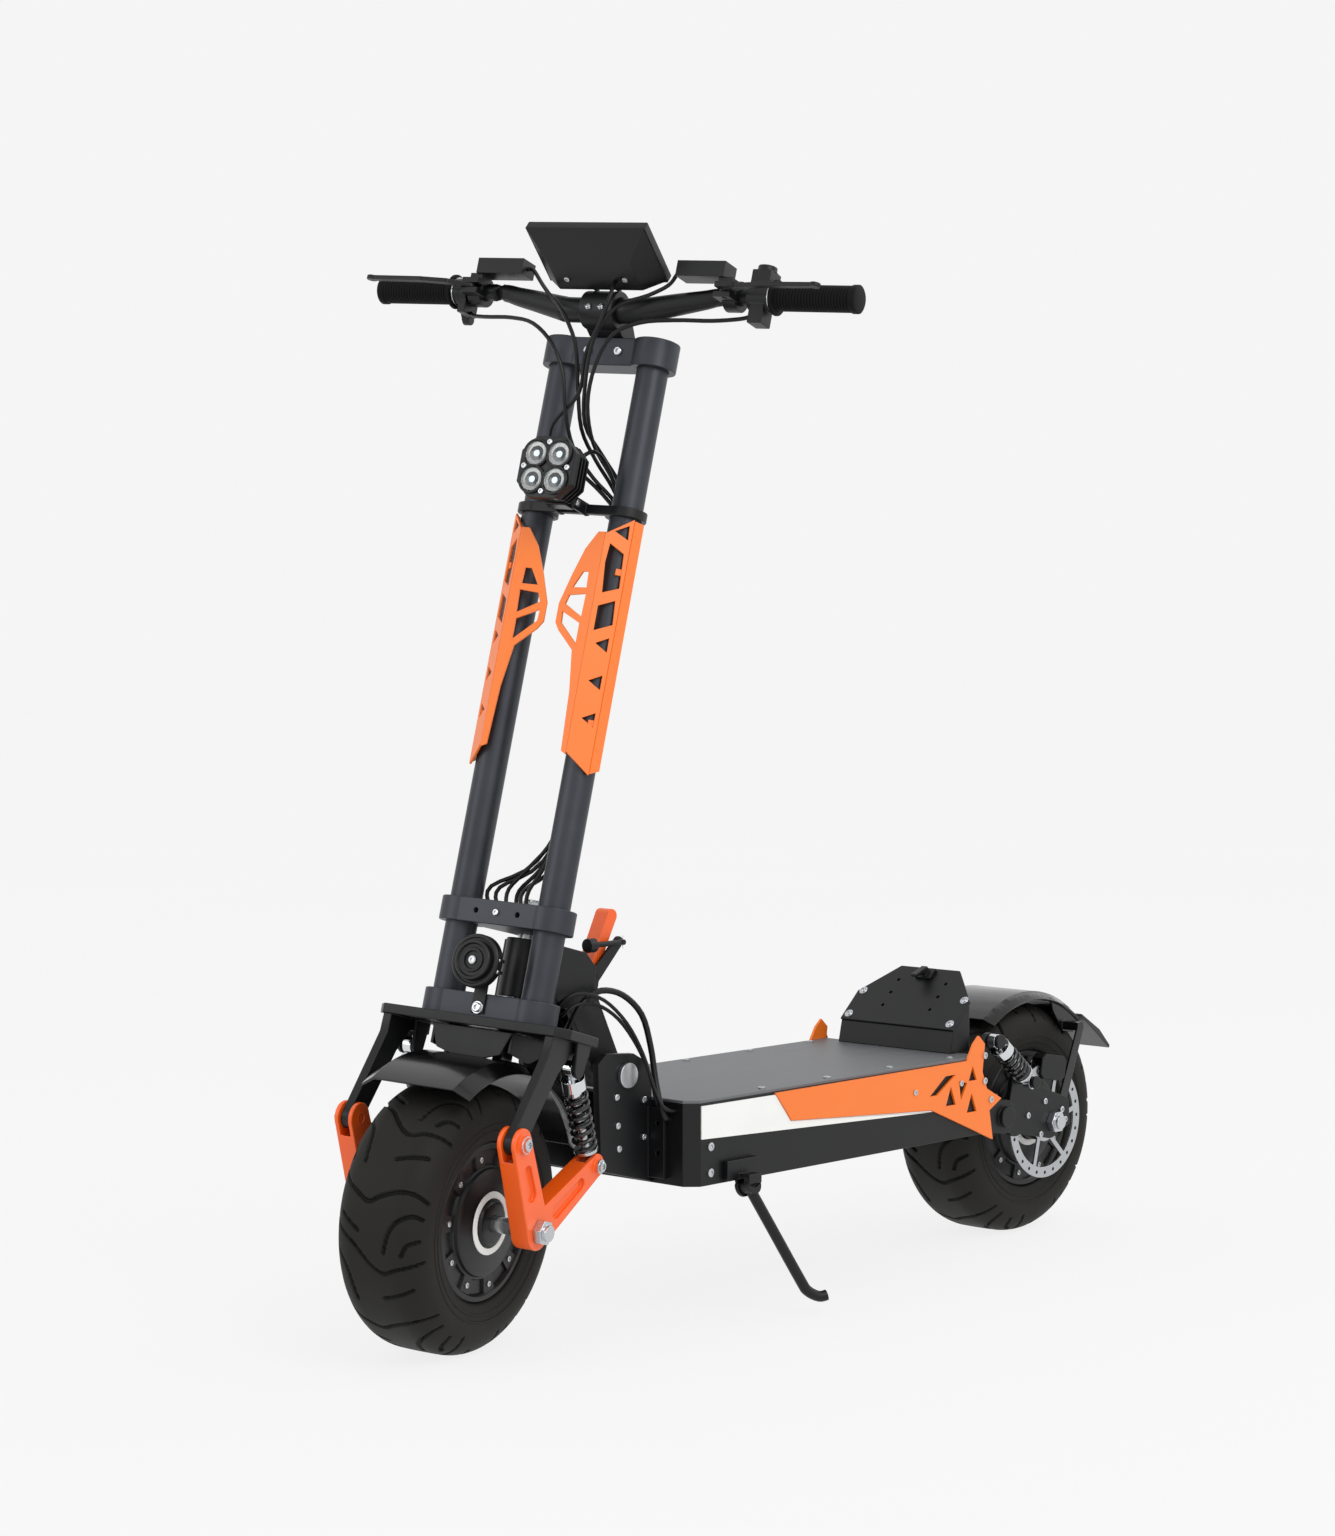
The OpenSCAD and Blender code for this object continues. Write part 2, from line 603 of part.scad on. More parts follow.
// The guards wrap each stem tube: a face turned outwards, a return flange and a flat wing.
guard_turn = 40;
guard_off = tube_r + 3;
guard_t = 3;
guard_low = stem_w + 166;
module guard_frame() translate([tube_lead, tube_y, guard_low]) rotate([0, 0, guard_turn])
    translate([guard_off, 0, 0]) rotate([90, 0, 90]) linear_extrude(guard_t) children();
module small_triangle(x, z) polygon([[x - 8, z], [x + 8, z + 9], [x + 8, z - 9]]);
module tube_guard() {
    guard_frame() difference() {
        polygon([[8, 0], [-25, 24], [-25, 298], [8, 322]]);
        polygon([[-14, 303], [3, 313], [4, 295]]);
        polygon([[-17, 287], [2, 277], [4, 234], [-16, 225], [-19, 263]]);
        polygon([[-18, 208], [2, 218], [4, 188], [-18, 177]]);
        for (z = [162, 115, 68]) small_triangle(-5, z);
    }
    translate([tube_lead, tube_y, guard_low]) rotate([0, 0, guard_turn]) translate([guard_off, 8, 0])
        rotate([0, 0, 40]) translate([0, -1, 0]) rotate([90, 0, 90]) linear_extrude(guard_t)
        polygon([[0, 2], [17, 9], [17, 320], [0, 320]]);
    translate([tube_lead, tube_y, guard_low]) rotate([0, 0, guard_turn]) translate([guard_off, -24, 0])
        rotate([0, 0, -48]) rotate([90, 0, -90]) mirror([0, 0, 1]) linear_extrude(guard_t)
        difference() {
        polygon([
            [-2, 20], [-1, 300], [10, 300], [26, 278], [39, 246], [52, 208], [52, 184], [45, 174],
            [18, 150], [10, 98], [6, 24]
        ]);
        polygon([[14, 249], [23, 249], [35, 229], [13, 229]]);
        polygon([[12, 221], [38, 219], [42, 208], [13, 192]]);
        polygon([[44, 198], [14, 184], [14, 158], [43, 184]]);
    }
    for (z = [60, 250]) translate([tube_lead, tube_y, guard_low + z]) rotate([0, 0, guard_turn])
        translate([tube_r + 0.1, -4, 0]) cube([guard_off - tube_r + 1, 8, 8]);
}
module tube_guards() color("#ff8024") steered() both_sides() tube_guard();

horn_face = tube_lead + 62;
horn_w = lower_w + lower_yoke_h + 36;
module horn() color("#1d1e20") steered() {
    bar_x(horn_face - 22, horn_face - 6, 0, horn_w, horn_r);
    bar_x(horn_face - 6, horn_face, 0, horn_w, horn_r - 8);
    bar_x(horn_face - 30, horn_face - 22, 0, horn_w, 17);
    translate([tube_lead + 27, -9, lower_w + 4]) cube([3, 18, horn_w - lower_w + 6]);
    bar_x(tube_lead + 29, horn_face - 29, 0, horn_w, 5);
    bar_x(tube_lead + 30, tube_lead + 35, 0, lower_w + 11, 7);
}

// ---------- headlight ----------

lamp_z = stem_w + lamp_lift;
lamp_clamp_z = lamp_z - 31;
lamp_hinge = [tube_lead + 48, lamp_z - 30];
lamp_back = lamp_hinge[0] + 10;
lamp_depth = 46;
module lamp_bracket() color("#131416") steered() {
    difference() {
        translate([0, 0, lamp_clamp_z - 6]) linear_extrude(12) {
            for (p = tubes) translate(p) circle(r = tube_r + 6);
            translate([tube_lead + tube_r - 4, -tube_y]) square([9, 2 * tube_y]);
        }
        tube_bores(lamp_clamp_z - 7, 14);
    }
    both_sides() across(16, 20) link([tube_lead + tube_r, lamp_clamp_z], 8, lamp_hinge, 8);
    pin(lamp_hinge, 4, -20.5, 20.5);
}
module headlight() color("#1a1b1d") steered() {
    difference() {
        across(-15, 15) link(lamp_hinge, 7, [lamp_back + 6, lamp_z - 22], 9);
        pin(lamp_hinge, 4 + run_gap, -17, 17);
    }
    translate([lamp_back, 0, lamp_z]) rotate([90, 0, 90]) difference() {
        union() {
            for (k = [0 : 3]) translate([0, 0, 2 + k * 7])
                linear_extrude(3) cut_square(lamp_w - 8, lamp_w - 8, 16);
            linear_extrude(lamp_depth - 14) cut_square(lamp_w - 20, lamp_w - 20, 14);
            translate([0, 0, lamp_depth - 15]) linear_extrude(15) cut_square(lamp_w, lamp_w, 18);
        }
        for (y = [-1, 1]) for (z = [-1, 1])
            translate([y * lamp_w * 0.21, z * lamp_w * 0.21, lamp_depth - 7]) cylinder(r = 12.5, h = 8);
    }
    for (y = [-1, 1]) for (z = [-1, 1])
        bar_x(lamp_back + lamp_depth - 8, lamp_back + lamp_depth - 2, y * lamp_w * 0.21,
            lamp_z + z * lamp_w * 0.21, 12.4);
}

// ---------- handlebar ----------

bend_y = 52;
rise_y = 150;
module handlebar() color("#1a1b1d") steered() {
    pin([bar_u, bar_w], bar_mid_r, -bend_y, bend_y);
    both_sides() {
        translate([bar_u, bend_y, bar_w]) sphere(r = bar_mid_r - 0.6);
        rod([bar_u, bend_y, bar_w], [grip_u, rise_y, grip_w], bar_mid_r - 1.5);
        translate([grip_u, rise_y, grip_w]) sphere(r = bar_mid_r - 0.9);
        pin([grip_u, grip_w], bar_r, rise_y, bar_half);
    }
}
clamp_half = 24;
module bar_clamp() color("#18191b") steered() difference() {
    union() {
        across(-clamp_half, clamp_half) {
            translate([bar_u, bar_w]) circle(r = bar_mid_r + 8);
            polygon([
                [tube_lead - 18, stem_top], [tube_lead + 20, stem_top],
                [bar_u + 18, bar_w - 12], [bar_u - 18, bar_w + 12]
            ]);
        }
    }
    pin([bar_u, bar_w], bar_mid_r + seat_gap, -clamp_half - 1, clamp_half + 1);
}
grip_in = bar_half - grip_l;
module grips() color("#141414") steered() both_sides() difference() {
    union() {
        pin([grip_u, grip_w], grip_r, grip_in, bar_half + 4);
        pin([grip_u, grip_w], grip_r + 6, grip_in - 4, grip_in + 1);
    }
    pin([grip_u, grip_w], bar_r + seat_gap, grip_in - 5, bar_half + seat_gap);
}

// The brake levers: the left perch sits inboard of the switch pod, the right one beside the throttle.
left_perch = 176;
right_perch = 196;
perch_u = grip_u + 30;
perch_sleeve_r = bar_r + 8;
lever_pivot_u = perch_u - 4;
// The lever's eye turns just clear of the perch's sleeve.
lever_eye_r = lever_pivot_u - grip_u - perch_sleeve_r - 4 * run_gap;
module perch(y) {
    difference() {
        union() {
            pin([grip_u, grip_w], perch_sleeve_r, y - 9, y + 9);
            translate([grip_u + 10, y - 14, grip_w + 3]) cube([22, 24, 7]);
            translate([grip_u + 10, y - 14, grip_w - 10]) cube([22, 24, 7]);
            translate([grip_u + 10, y - 14, grip_w - 10]) cube([9, 24, 20]);
            translate([grip_u - 2, y - 74, grip_w + 17]) cube([30, 68, 20]);
            translate([grip_u + 4, y - 14, grip_w + 3]) cube([20, 18, 15]);
        }
        pin([grip_u, grip_w], bar_r + seat_gap, y - 90, y + 40);
        translate([lever_pivot_u, y, grip_w - 11]) cylinder(r = 3, h = 22);
    }
    translate([lever_pivot_u, y, grip_w - 11]) cylinder(r = 3 - seat_gap, h = 22);
}
module brake_perches() color("#1c1d1f") steered() {
    perch(left_perch);
    mirror([0, 1, 0]) perch(right_perch);
}
lever_knee = [perch_u + 12, 26];
lever_bend = [grip_u + lever_reach - 8, 60];
lever_end = [grip_u + lever_reach - 6, 131];
module lever_blade(y) translate([0, y, grip_w - 2.7]) difference() {
    union() {
        linear_extrude(5.4) link([lever_pivot_u, 0], lever_eye_r, lever_knee, 6);
        linear_extrude(5.4) link(lever_knee, 6.4, lever_bend, 5);
        linear_extrude(5.4) link(lever_bend, 5.4, lever_end, 4.8);
        translate([lever_end[0], lever_end[1] + 4, 0]) cylinder(r = 7, h = 5.4);
    }
    translate([lever_pivot_u, 0, -1]) cylinder(r = 3 + run_gap, h = 8);
}
module brake_lever_left() color("#191a1c") steered() lever_blade(left_perch);
module brake_lever_right() color("#191a1c") steered() mirror([0, 1, 0]) lever_blade(right_perch);

module throttle_housing() color("#1a1b1d") steered() mirror([0, 1, 0]) difference() {
    union() {
        pin([grip_u, grip_w], 19, grip_in - 27, grip_in - 16);
        translate([grip_u - 17, grip_in - 27, grip_w - 30]) cube([30, 11, 22]);
    }
    pin([grip_u, grip_w], bar_r + seat_gap, grip_in - 40, grip_in);
}
paddle_dir = 230;
module throttle_paddle() color("#0f1011") steered() mirror([0, 1, 0])
    across(grip_in - 15.5, grip_in - 5) difference() {
        union() {
            translate([grip_u, grip_w]) circle(r = 17);
            link([grip_u, grip_w] + 16 * [cos(paddle_dir), sin(paddle_dir)], 6,
                [grip_u, grip_w] + 38 * [cos(paddle_dir), sin(paddle_dir)], 7);
        }
        translate([grip_u, grip_w]) circle(r = bar_r + run_gap);
    }

pod_y = grip_in - 30;
button_at = [grip_u - 18, pod_y + 9, grip_w + 20];
module switch_pod() color("#18191b") steered() difference() {
    union() {
        pin([grip_u, grip_w], 18, pod_y - 6, pod_y + 24);
        translate([grip_u - 14, pod_y - 4, grip_w + 6]) cube([28, 26, 26]);
        translate([grip_u, pod_y + 9, grip_w + 30]) cylinder(r = 12, h = 9);
        translate([grip_u - 12, pod_y, grip_w - 36]) cube([26, 20, 26]);
    }
    pin([grip_u, grip_w], bar_r + seat_gap, pod_y - 10, pod_y + 30);
    bar_x(button_at[0], button_at[0] + 12, button_at[1], button_at[2], 5.4);
}
module horn_button() color("#c7281e") steered()
    bar_x(button_at[0], button_at[0] + 8, button_at[1], button_at[2], 5);

// The display leans back towards the rider; its frame lies in the screen's plane.
display_tilt = 28.3;
display_at = [bar_u + 40, bar_w + 61];
module display_frame() translate([display_at[0], 0, display_at[1]]) rotate([0, -display_tilt, 0])
    children();
module display() color("#0e0f10") steered() {
    display_frame() {
        difference() {
            translate([-display_l / 2, -display_w / 2, -4]) cube([display_l, display_w, 12]);
            translate([-display_l / 2 + 8, -display_w / 2 + 8, 6]) cube([display_l - 16, display_w - 16, 3]);
        }
        intersection() {
            across(-display_w / 2, display_w / 2) polygon([
                [-display_l / 2 + 1, -3.5], [display_l / 2 - 1, -3.5], [4, -24], [-display_l / 2 + 4, -24]
            ]);
            translate([-display_l / 2, 0, 0]) rotate([90, 0, 90]) linear_extrude(display_l) polygon([
                [-display_w / 2 + 1, -3.5], [display_w / 2 - 1, -3.5], [display_w / 2 - 26, -24], [-display_w / 2 + 26, -24]
            ]);
        }
    }
    both_sides() across(14, 18) polygon([
        [bar_u - 8, bar_w + bar_mid_r + 8.2], [bar_u + 8, bar_w + bar_mid_r + 8.2],
        [display_at[0] - 18, display_at[1] - 27], [display_at[0] - 30, display_at[1] - 26]
    ]);
}

// ---------- wheels ----------

module tyre_profile() polygon(concat(
    [[tyre_r, -crown_half]], [[tyre_r, crown_half]],
    [for (a = [15 : 15 : 90]) [
        tyre_r - 37 * (1 - cos(a)), crown_half + (tyre_w / 2 - crown_half) * sin(a)
    ]],
    [[rim_r + 8, tyre_w / 2 - 4], [rim_r, tyre_w / 2 - 8], [rim_r, tyre_w / 2 - 20]],
    [[rim_r + 20, tyre_w / 2 - 14], [tyre_r - 24, tyre_w / 2 - 16], [tyre_r - 14, crown_half]],
    [[tyre_r - 14, -crown_half], [tyre_r - 24, 16 - tyre_w / 2], [rim_r + 20, 14 - tyre_w / 2]],
    [[rim_r, 20 - tyre_w / 2], [rim_r, 8 - tyre_w / 2], [rim_r + 8, 4 - tyre_w / 2]],
    [for (a = [90 : -15 : 15]) [
        tyre_r - 37 * (1 - cos(a)), -crown_half - (tyre_w / 2 - crown_half) * sin(a)
    ]]
));
module wheel_at(p) translate([p[0], 0, p[1]]) rotate([-90, 0, 0]) children();
module tyre(p) wheel_at(p) rotate_extrude($fn = 96) tyre_profile();
module hub_motor(p) wheel_at(p) difference() {
    rotate_extrude($fn = 96) polygon([
        [axle_r + run_gap, -disc_y + 20], [33, -disc_y + 20], [36, 4 - tyre_w / 2],
        [rim_r - 12, 8 - tyre_w / 2], [rim_r - seat_gap, 8 - tyre_w / 2],
        [rim_r - seat_gap, tyre_w / 2 - 8], [rim_r - 12, tyre_w / 2 - 8], [36, tyre_w / 2 - 4],
        [33, disc_y - 20], [axle_r + run_gap, disc_y - 20]
    ]);
    for (a = [0 : 60 : 300]) for (s = [-1, 1]) rotate([0, 0, a]) translate([rim_r - 22, 0, s * (tyre_w / 2)])
        translate([0, 0, -7]) cylinder(r = 3, h = 14);
}
module brake_disc(p, side) wheel_at(p) translate([0, 0, side > 0 ? disc_y : -disc_y - disc_t])
    difference() {
        union() {
            difference() {
                cylinder(r = disc_r, h = disc_t);
                translate([0, 0, -1]) cylinder(r = disc_r - 15, h = disc_t + 2);
            }
            difference() {
                cylinder(r = 30, h = disc_t);
                translate([0, 0, -1]) cylinder(r = axle_r + 8, h = disc_t + 2);
            }
            for (a = [0 : 60 : 300]) rotate([0, 0, a]) translate([26, -5, 0])
                rotate([0, 0, 16]) cube([disc_r - 36, 7, disc_t]);
        }
        for (a = [0 : 15 : 345]) rotate([0, 0, a]) translate([disc_r - 7, 0, -1])
            cylinder(r = 2.5, h = disc_t + 2);
    }
// The disc is bolted to a carrier ring that stands on the motor's cover.
module disc_carrier(p, side) wheel_at(p) translate([0, 0, side > 0 ? disc_y - 20 : -disc_y])
    difference() {
        cylinder(r = 29, h = 20);
        translate([0, 0, -1]) cylinder(r = axle_r + 8, h = 22);
    }
module axle_shaft(p, reach) {
    pin(p, axle_r, -reach - 16, reach + 16);
    for (s = [-1, 1]) translate([p[0], s > 0 ? reach : -reach - 11, p[1]]) rotate([-90, 0, 0])
        cylinder(r = axle_r + 6, h = 11, $fn = 6);
}
// A caliper that straddles the disc; it is drawn about the disc's rim at an angle from +X.
module caliper(p, side, angle, mount_y) translate([p[0], 0, p[1]]) rotate([0, -angle, 0]) {
    y0 = side > 0 ? disc_y - 11 : -mount_y;
    y1 = side > 0 ? mount_y : -disc_y + 11;
    slot_y = side > 0 ? disc_y - 1.5 : -disc_y - disc_t - 1.5;
    difference() {
        across(y0, y1) translate([disc_r - 6, 0]) cut_square(36, 58, 7);
        translate([disc_r - 30, slot_y, -40]) cube([34, disc_t + 3, 80]);
    }
}

module front_tyre() color("#2a2a29") steered() tyre(front_axle);
module front_hub_motor() color("#1b1c1e") steered() {
    hub_motor(front_axle);
    disc_carrier(front_axle, -1);
}
module front_disc() color("#c9cbcc") steered() brake_disc(front_axle, -1);
module rear_tyre() color("#2a2a29") place() tyre([0, axle_z]);
module rear_hub_motor() color("#1b1c1e") place() {
    hub_motor([0, axle_z]);
    disc_carrier([0, axle_z], 1);
}
module rear_disc() color("#c9cbcc") place() brake_disc([0, axle_z], 1);

// ---------- front suspension ----------

arm_in = arm_y - arm_t / 2;
arm_out = arm_y + arm_t / 2;
arm_turn = atan2(front_eye[1] - front_axle[1], front_eye[0] - front_axle[0]);
module front_arm() difference() {
    across(arm_in, arm_out) {
        link(front_pivot, 19, front_axle, 23);
        link(front_axle, 23, front_eye, 15);
    }
    // pockets in the outer faces of both limbs
    across(arm_out - 5, arm_out + 1) {
        link(front_axle + 0.42 * (front_pivot - front_axle), 9, front_axle + 0.68 * (front_pivot - front_axle), 8);
        link(front_axle + 0.3 * (front_eye - front_axle), 9, front_axle + 0.72 * (front_eye - front_axle), 7);
    }
    // slots for the fork's tongue and for the shock's eye
    across(tongue_in - 1, tongue_out + 1) {
        translate(front_pivot) circle(r = 24);
        translate(front_pivot) polygon([[0, -24], [24, -24], [24, 30], [-24, 30], [-24, 0]]);
        link(front_eye, 17, front_eye + 45 * unit(front_shock_top - front_eye), 17);
    }
    pin(front_axle, axle_r + seat_gap, arm_in - 1, arm_out + 1);
}
module front_arms() color("#ff5a12") steered() both_sides() {
    front_arm();
    pin(front_pivot, front_pin_r, arm_in - 1, arm_out + 1);
    pin(front_pivot, 11, arm_out - 1, arm_out + 6);
    pin(front_eye, shock_pin_r, arm_in - 1, arm_out + 1);
    pin(front_eye, 9, arm_out - 1, arm_out + 5);
}
module front_axle_shaft() color("#a9abad") steered() axle_shaft(front_axle, arm_out);
module front_caliper() color("#1d1e20") steered() caliper(front_axle, -1, arm_turn, arm_in);

// ---------- shocks ----------

// A shock's own frame hangs from its top eye; -Z points at its lower eye.
module shock_frame(top, low, y) translate([top[0], y, top[1]])
    rotate([0, atan2(top[0] - low[0], top[1] - low[1]), 0]) children();
eye_r = 10;
eye_half = 6;
module shock_body(l) {
    difference() {
        union() {
            pin([0, 0], eye_r, -eye_half, eye_half);
            translate([0, 0, -14]) cylinder(r = 7, h = 8);
            translate([0, 0, -28]) cylinder(r = 15, h = 15);
            translate([0, 0, -0.6 * l]) cylinder(r = 9, h = 0.6 * l - 20);
        }
        pin([0, 0], shock_pin_r + run_gap, -eye_half - 1, eye_half + 1);
        translate([0, 0, -0.6 * l - 1]) cylinder(r = 5 + run_gap, h = 0.6 * l - 24);
    }
}
module shock_rod(l) {
    difference() {
        union() {
            pin([0, -l], eye_r, -eye_half, eye_half);
            translate([0, 0, -l + 7]) cylinder(r = 5.5, h = 14);
            translate([0, 0, -l + 20]) cylinder(r = 15, h = 4);
        }
        pin([0, -l], shock_pin_r + eye_play, -eye_half - 1, eye_half + 1);
    }
    translate([0, 0, -l + 22]) cylinder(r = 5, h = 0.55 * l - 22);
}
coil_r = 13;
module shock_spring(l, turns) {
    low = -l + 24.3 + spring_wire_r;
    high = -28.3 - spring_wire_r;
    steps = turns * 12;
    sweep([for (k = [0 : steps]) [
        coil_r * cos(30 * k), coil_r * sin(30 * k), low + (high - low) * k / steps
    ]], spring_wire_r, 8);
}
front_l = norm(front_shock_top - front_eye);
rear_l = norm(rear_shock_top - rear_eye);
module front_shock() both_sides() shock_frame(front_shock_top, front_eye, arm_y) children();
module rear_shock() both_sides() shock_frame(rear_shock_top, rear_eye, rear_shock_y) children();
module front_shock_bodies() color("#d5d6d8") steered() front_shock() shock_body(front_l);
module front_shock_rods() color("#9a9c9e") steered() front_shock() shock_rod(front_l);
module front_springs() color("#161616") steered() front_shock() shock_spring(front_l, 7);
module rear_shock_bodies() color("#d5d6d8") place() rear_shock() shock_body(rear_l);
module rear_shock_rods() color("#9a9c9e") place() rear_shock() shock_rod(rear_l);
module rear_springs() color("#161616") place() rear_shock() shock_spring(rear_l, 5);

// ---------- rear suspension ----------

swing_out = swingarm_y + swingarm_t;
module swingarms() color("#151618") place() both_sides() {
    difference() {
        across(swingarm_y, swing_out) {
            link(rear_pivot, 22, [4, axle_z], 24);
            link(rear_eye, 13, [rear_eye[0] + 4, axle_z + 10], 22);
            polygon([[-42, axle_z - 8], [-38, axle_z + 30], [10, axle_z + 46], [rear_eye[0], axle_z + 78],
                [rear_eye[0] + 12, axle_z + 60], [60, axle_z], [0, axle_z - 20]]);
        }
        pin([0, axle_z], axle_r + seat_gap, swingarm_y - 1, swing_out + 1);
        pin(rear_pivot, rear_pin_r + run_gap, swingarm_y - 1, swing_out + 1);
    }
    pin(rear_eye, shock_pin_r, swing_out - 1, rear_shock_y + 9);
    pin(rear_eye, 9, rear_shock_y + 8.5, rear_shock_y + 13);
}
module rear_axle_shaft() color("#a9abad") place() axle_shaft([0, axle_z], swing_out);
module rear_caliper() color("#1d1e20") place() caliper([0, axle_z], 1, 100, swingarm_y);

arch_r = tyre_r + 14;
arch_half = 68;
strut_y = disc_y + disc_t + 1.5;
module rear_fender() color("#0c0c0d") place() {
    translate([0, 0, axle_z]) rotate([90, 0, 0]) rotate([0, 0, 56]) rotate_extrude(angle = 74, $fn = 120)
        polygon([
            [arch_r, -52], [arch_r - 10, -arch_half], [arch_r - 7, -arch_half - 2], [arch_r + 3, -54],
            [arch_r + 3, 54], [arch_r - 7, arch_half + 2], [arch_r - 10, arch_half], [arch_r, 52]
        ]);
    // the tail kicks out from the arch's end
    tail_a = 129.5;
    across(-arch_half, arch_half) polygon([
        [arch_r * cos(tail_a), axle_z + arch_r * sin(tail_a)],
        [fender_tail + 2, axle_z + 84], [fender_tail, axle_z + 88],
        [fender_tail + 26, axle_z + 114], [(arch_r + 3) * cos(tail_a), axle_z + (arch_r + 3) * sin(tail_a)]
    ]);
    both_sides() {
        across(arch_half - 6, arch_half - 2) polygon([
            for (p = [[104, 4], [117, 4], [130, 4], [130, 29], [121, 39], [108, 21]])
                [(arch_r - p[1]) * cos(p[0]), axle_z + (arch_r - p[1]) * sin(p[0])]
        ]);
        across(strut_y, swingarm_y) link([-30, axle_z + 12], 9, [-78, axle_z + 128], 7);
        translate([-84, arch_half - 6, axle_z + 122]) cube([14, swingarm_y - arch_half + 6, 12]);
    }
}

// ---------- kickstand ----------

stand_hinge = [deck_front - 92, deck_half + 12, deck_bottom - 6];
stand_l = (stand_hinge[2] - stand_r) / (cos(stand_splay) * cos(stand_lean));
module kickstand_bracket() color("#111213") place() difference() {
    union() {
        translate([stand_hinge[0] - 26, deck_half, deck_bottom + 4]) cube([60, 8, 24]);
        translate(stand_hinge) rotate([stand_splay, 0, 0]) {
            rotate([90, 0, 0]) translate([0, 0, 6.4]) cylinder(r = 13, h = 5);
            rotate([-90, 0, 0]) translate([0, 0, 6.4]) cylinder(r = 13, h = 5);
        }
        translate([stand_hinge[0] - 12, deck_half - 2, deck_bottom - 2]) cube([24, 27, 12]);
    }
    translate(stand_hinge) rotate([stand_splay, 0, 0]) rotate([90, 0, 0]) {
        translate([0, 0, -6.3]) cylinder(r = 15, h = 12.6);
        translate([0, 0, -13]) cylinder(r = 4 + run_gap, h = 26);
    }
    translate([0, -1, 0]) translate([stand_hinge[0] - 40, 0, 0]) cube([80, deck_half + 1, 400]);
}
module kickstand_leg() color("#161718") place() translate(stand_hinge) rotate([stand_splay, 0, 0]) {
    rotate([90, 0, 0]) translate([0, 0, -6]) cylinder(r = 11, h = 12);
    rotate([90, 0, 0]) translate([0, 0, -12]) cylinder(r = 4, h = 24);
    rotate([0, stand_lean, 0]) translate([0, 0, -stand_l]) {
        cylinder(r = stand_r, h = stand_l - 17);
        translate([0, 0, stand_l - 18]) cylinder(r = 5, h = 12);
        sphere(r = stand_r);
    }
}

// ---------- screws ----------

module dome(r, h) cylinder(r1 = r, r2 = r * 0.7, h = h);
module deck_screws() color("#d9dadb") place() {
    both_sides() for (x = [deck_rear + 52 : 130 : deck_front - 20])
        translate([x, deck_half - 14, deck_top_z]) dome(5, 2.5);
    for (x = [50, 150]) translate([deck_rear + x, deck_half + 4, deck_top_z - 32 - x * 0.02])
        rotate([-90, 0, 0]) dome(4, 1.5);
    for (z = [16, 49]) translate([deck_front - deck_chamfer - 18, deck_half, deck_bottom + z])
        rotate([-90, 0, 0]) dome(5.5, 2.5);
}

// ---------- cables ----------

// Routes are hand-picked points in the steering frame, bar side first.
bar_routes = [
    [[94, 101.4, 1338], [94, 96, 1335], [98, 89, 1319], [111, 70, 1301], [127, 38, 1280], [124, 12, 1240],
        [112, 4, 1190], [92, 2, 1140], [58, 14, 1110], [38, 34, 1080], [34, 46, 1050], [33, 49, 1000],
        [33, 49, 900], [33, 49, 720], [34, 44, 640], [34, 20, 590], [30, -8, 560], [30, -8, 539]],
    [[94, -121.4, 1338], [94, -114, 1337], [101, -94, 1318], [118, -66, 1296], [128, -40, 1276],
        [121, -16, 1236], [106, -10, 1186], [86, -6, 1136], [60, 6, 1104], [40, 26, 1074], [32, 40, 1046],
        [29, 43, 1000], [29, 43, 900], [29, 43, 720], [32, 36, 640], [38, 6, 590], [38, -18, 560],
        [38, -18, 539]]
];
module bar_cables() color("#0b0b0c") steered() for (route = bar_routes)
    sweep(smooth(route, 3), 2.6, 8);

// The deck's own cables leave the neck's side and enter the deck's front wall.
deck_routes = [
    [[929, 42, 378], [927, 50, 392], [912, 56, 414], [884, 58, 424], [850, 62, 416], [824, 70, 390],
        [816, 78, 350], [818, 88, 310], [823, 101, 280], [818, 104, 264], [812, 104, 261],
        [808, 104, 260], [805.4, 104, 260]]
];
module deck_cables() color("#0b0b0c") place() for (route = deck_routes)
    sweep(smooth(route, 4), 4, 8);

deck_shell();
deck_top();
battery_and_controller();
side_strips();
side_plates();
rear_box();
rear_box_lid();
stem_catch();
hinge_plates();
fold_bolt();
kickstand_bracket();
deck_screws();
kickstand_leg();
neck();
head_bearings();
latch_bracket();
latch_lever();
steerer();
stem_tubes();
top_yoke();
middle_yoke();
lower_yoke();
front_fork();
front_fender();
tube_guards();
horn();
lamp_bracket();
bar_clamp();
handlebar();
grips();
brake_perches();
display();
throttle_housing();
switch_pod();
bar_cables();
headlight();
brake_lever_left();
brake_lever_right();
throttle_paddle();
horn_button();
deck_cables();
front_arms();
front_axle_shaft();
front_caliper();
front_tyre();
front_hub_motor();
front_disc();
front_shock_bodies();
front_shock_rods();
front_springs();
swingarms();
rear_axle_shaft();
rear_caliper();
rear_fender();
rear_tyre();
rear_hub_motor();
rear_disc();
rear_shock_bodies();
rear_shock_rods();
rear_springs();
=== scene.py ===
"""Electric kick scooter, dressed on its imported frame. Lengths are millimetres unless a name ends in _m."""

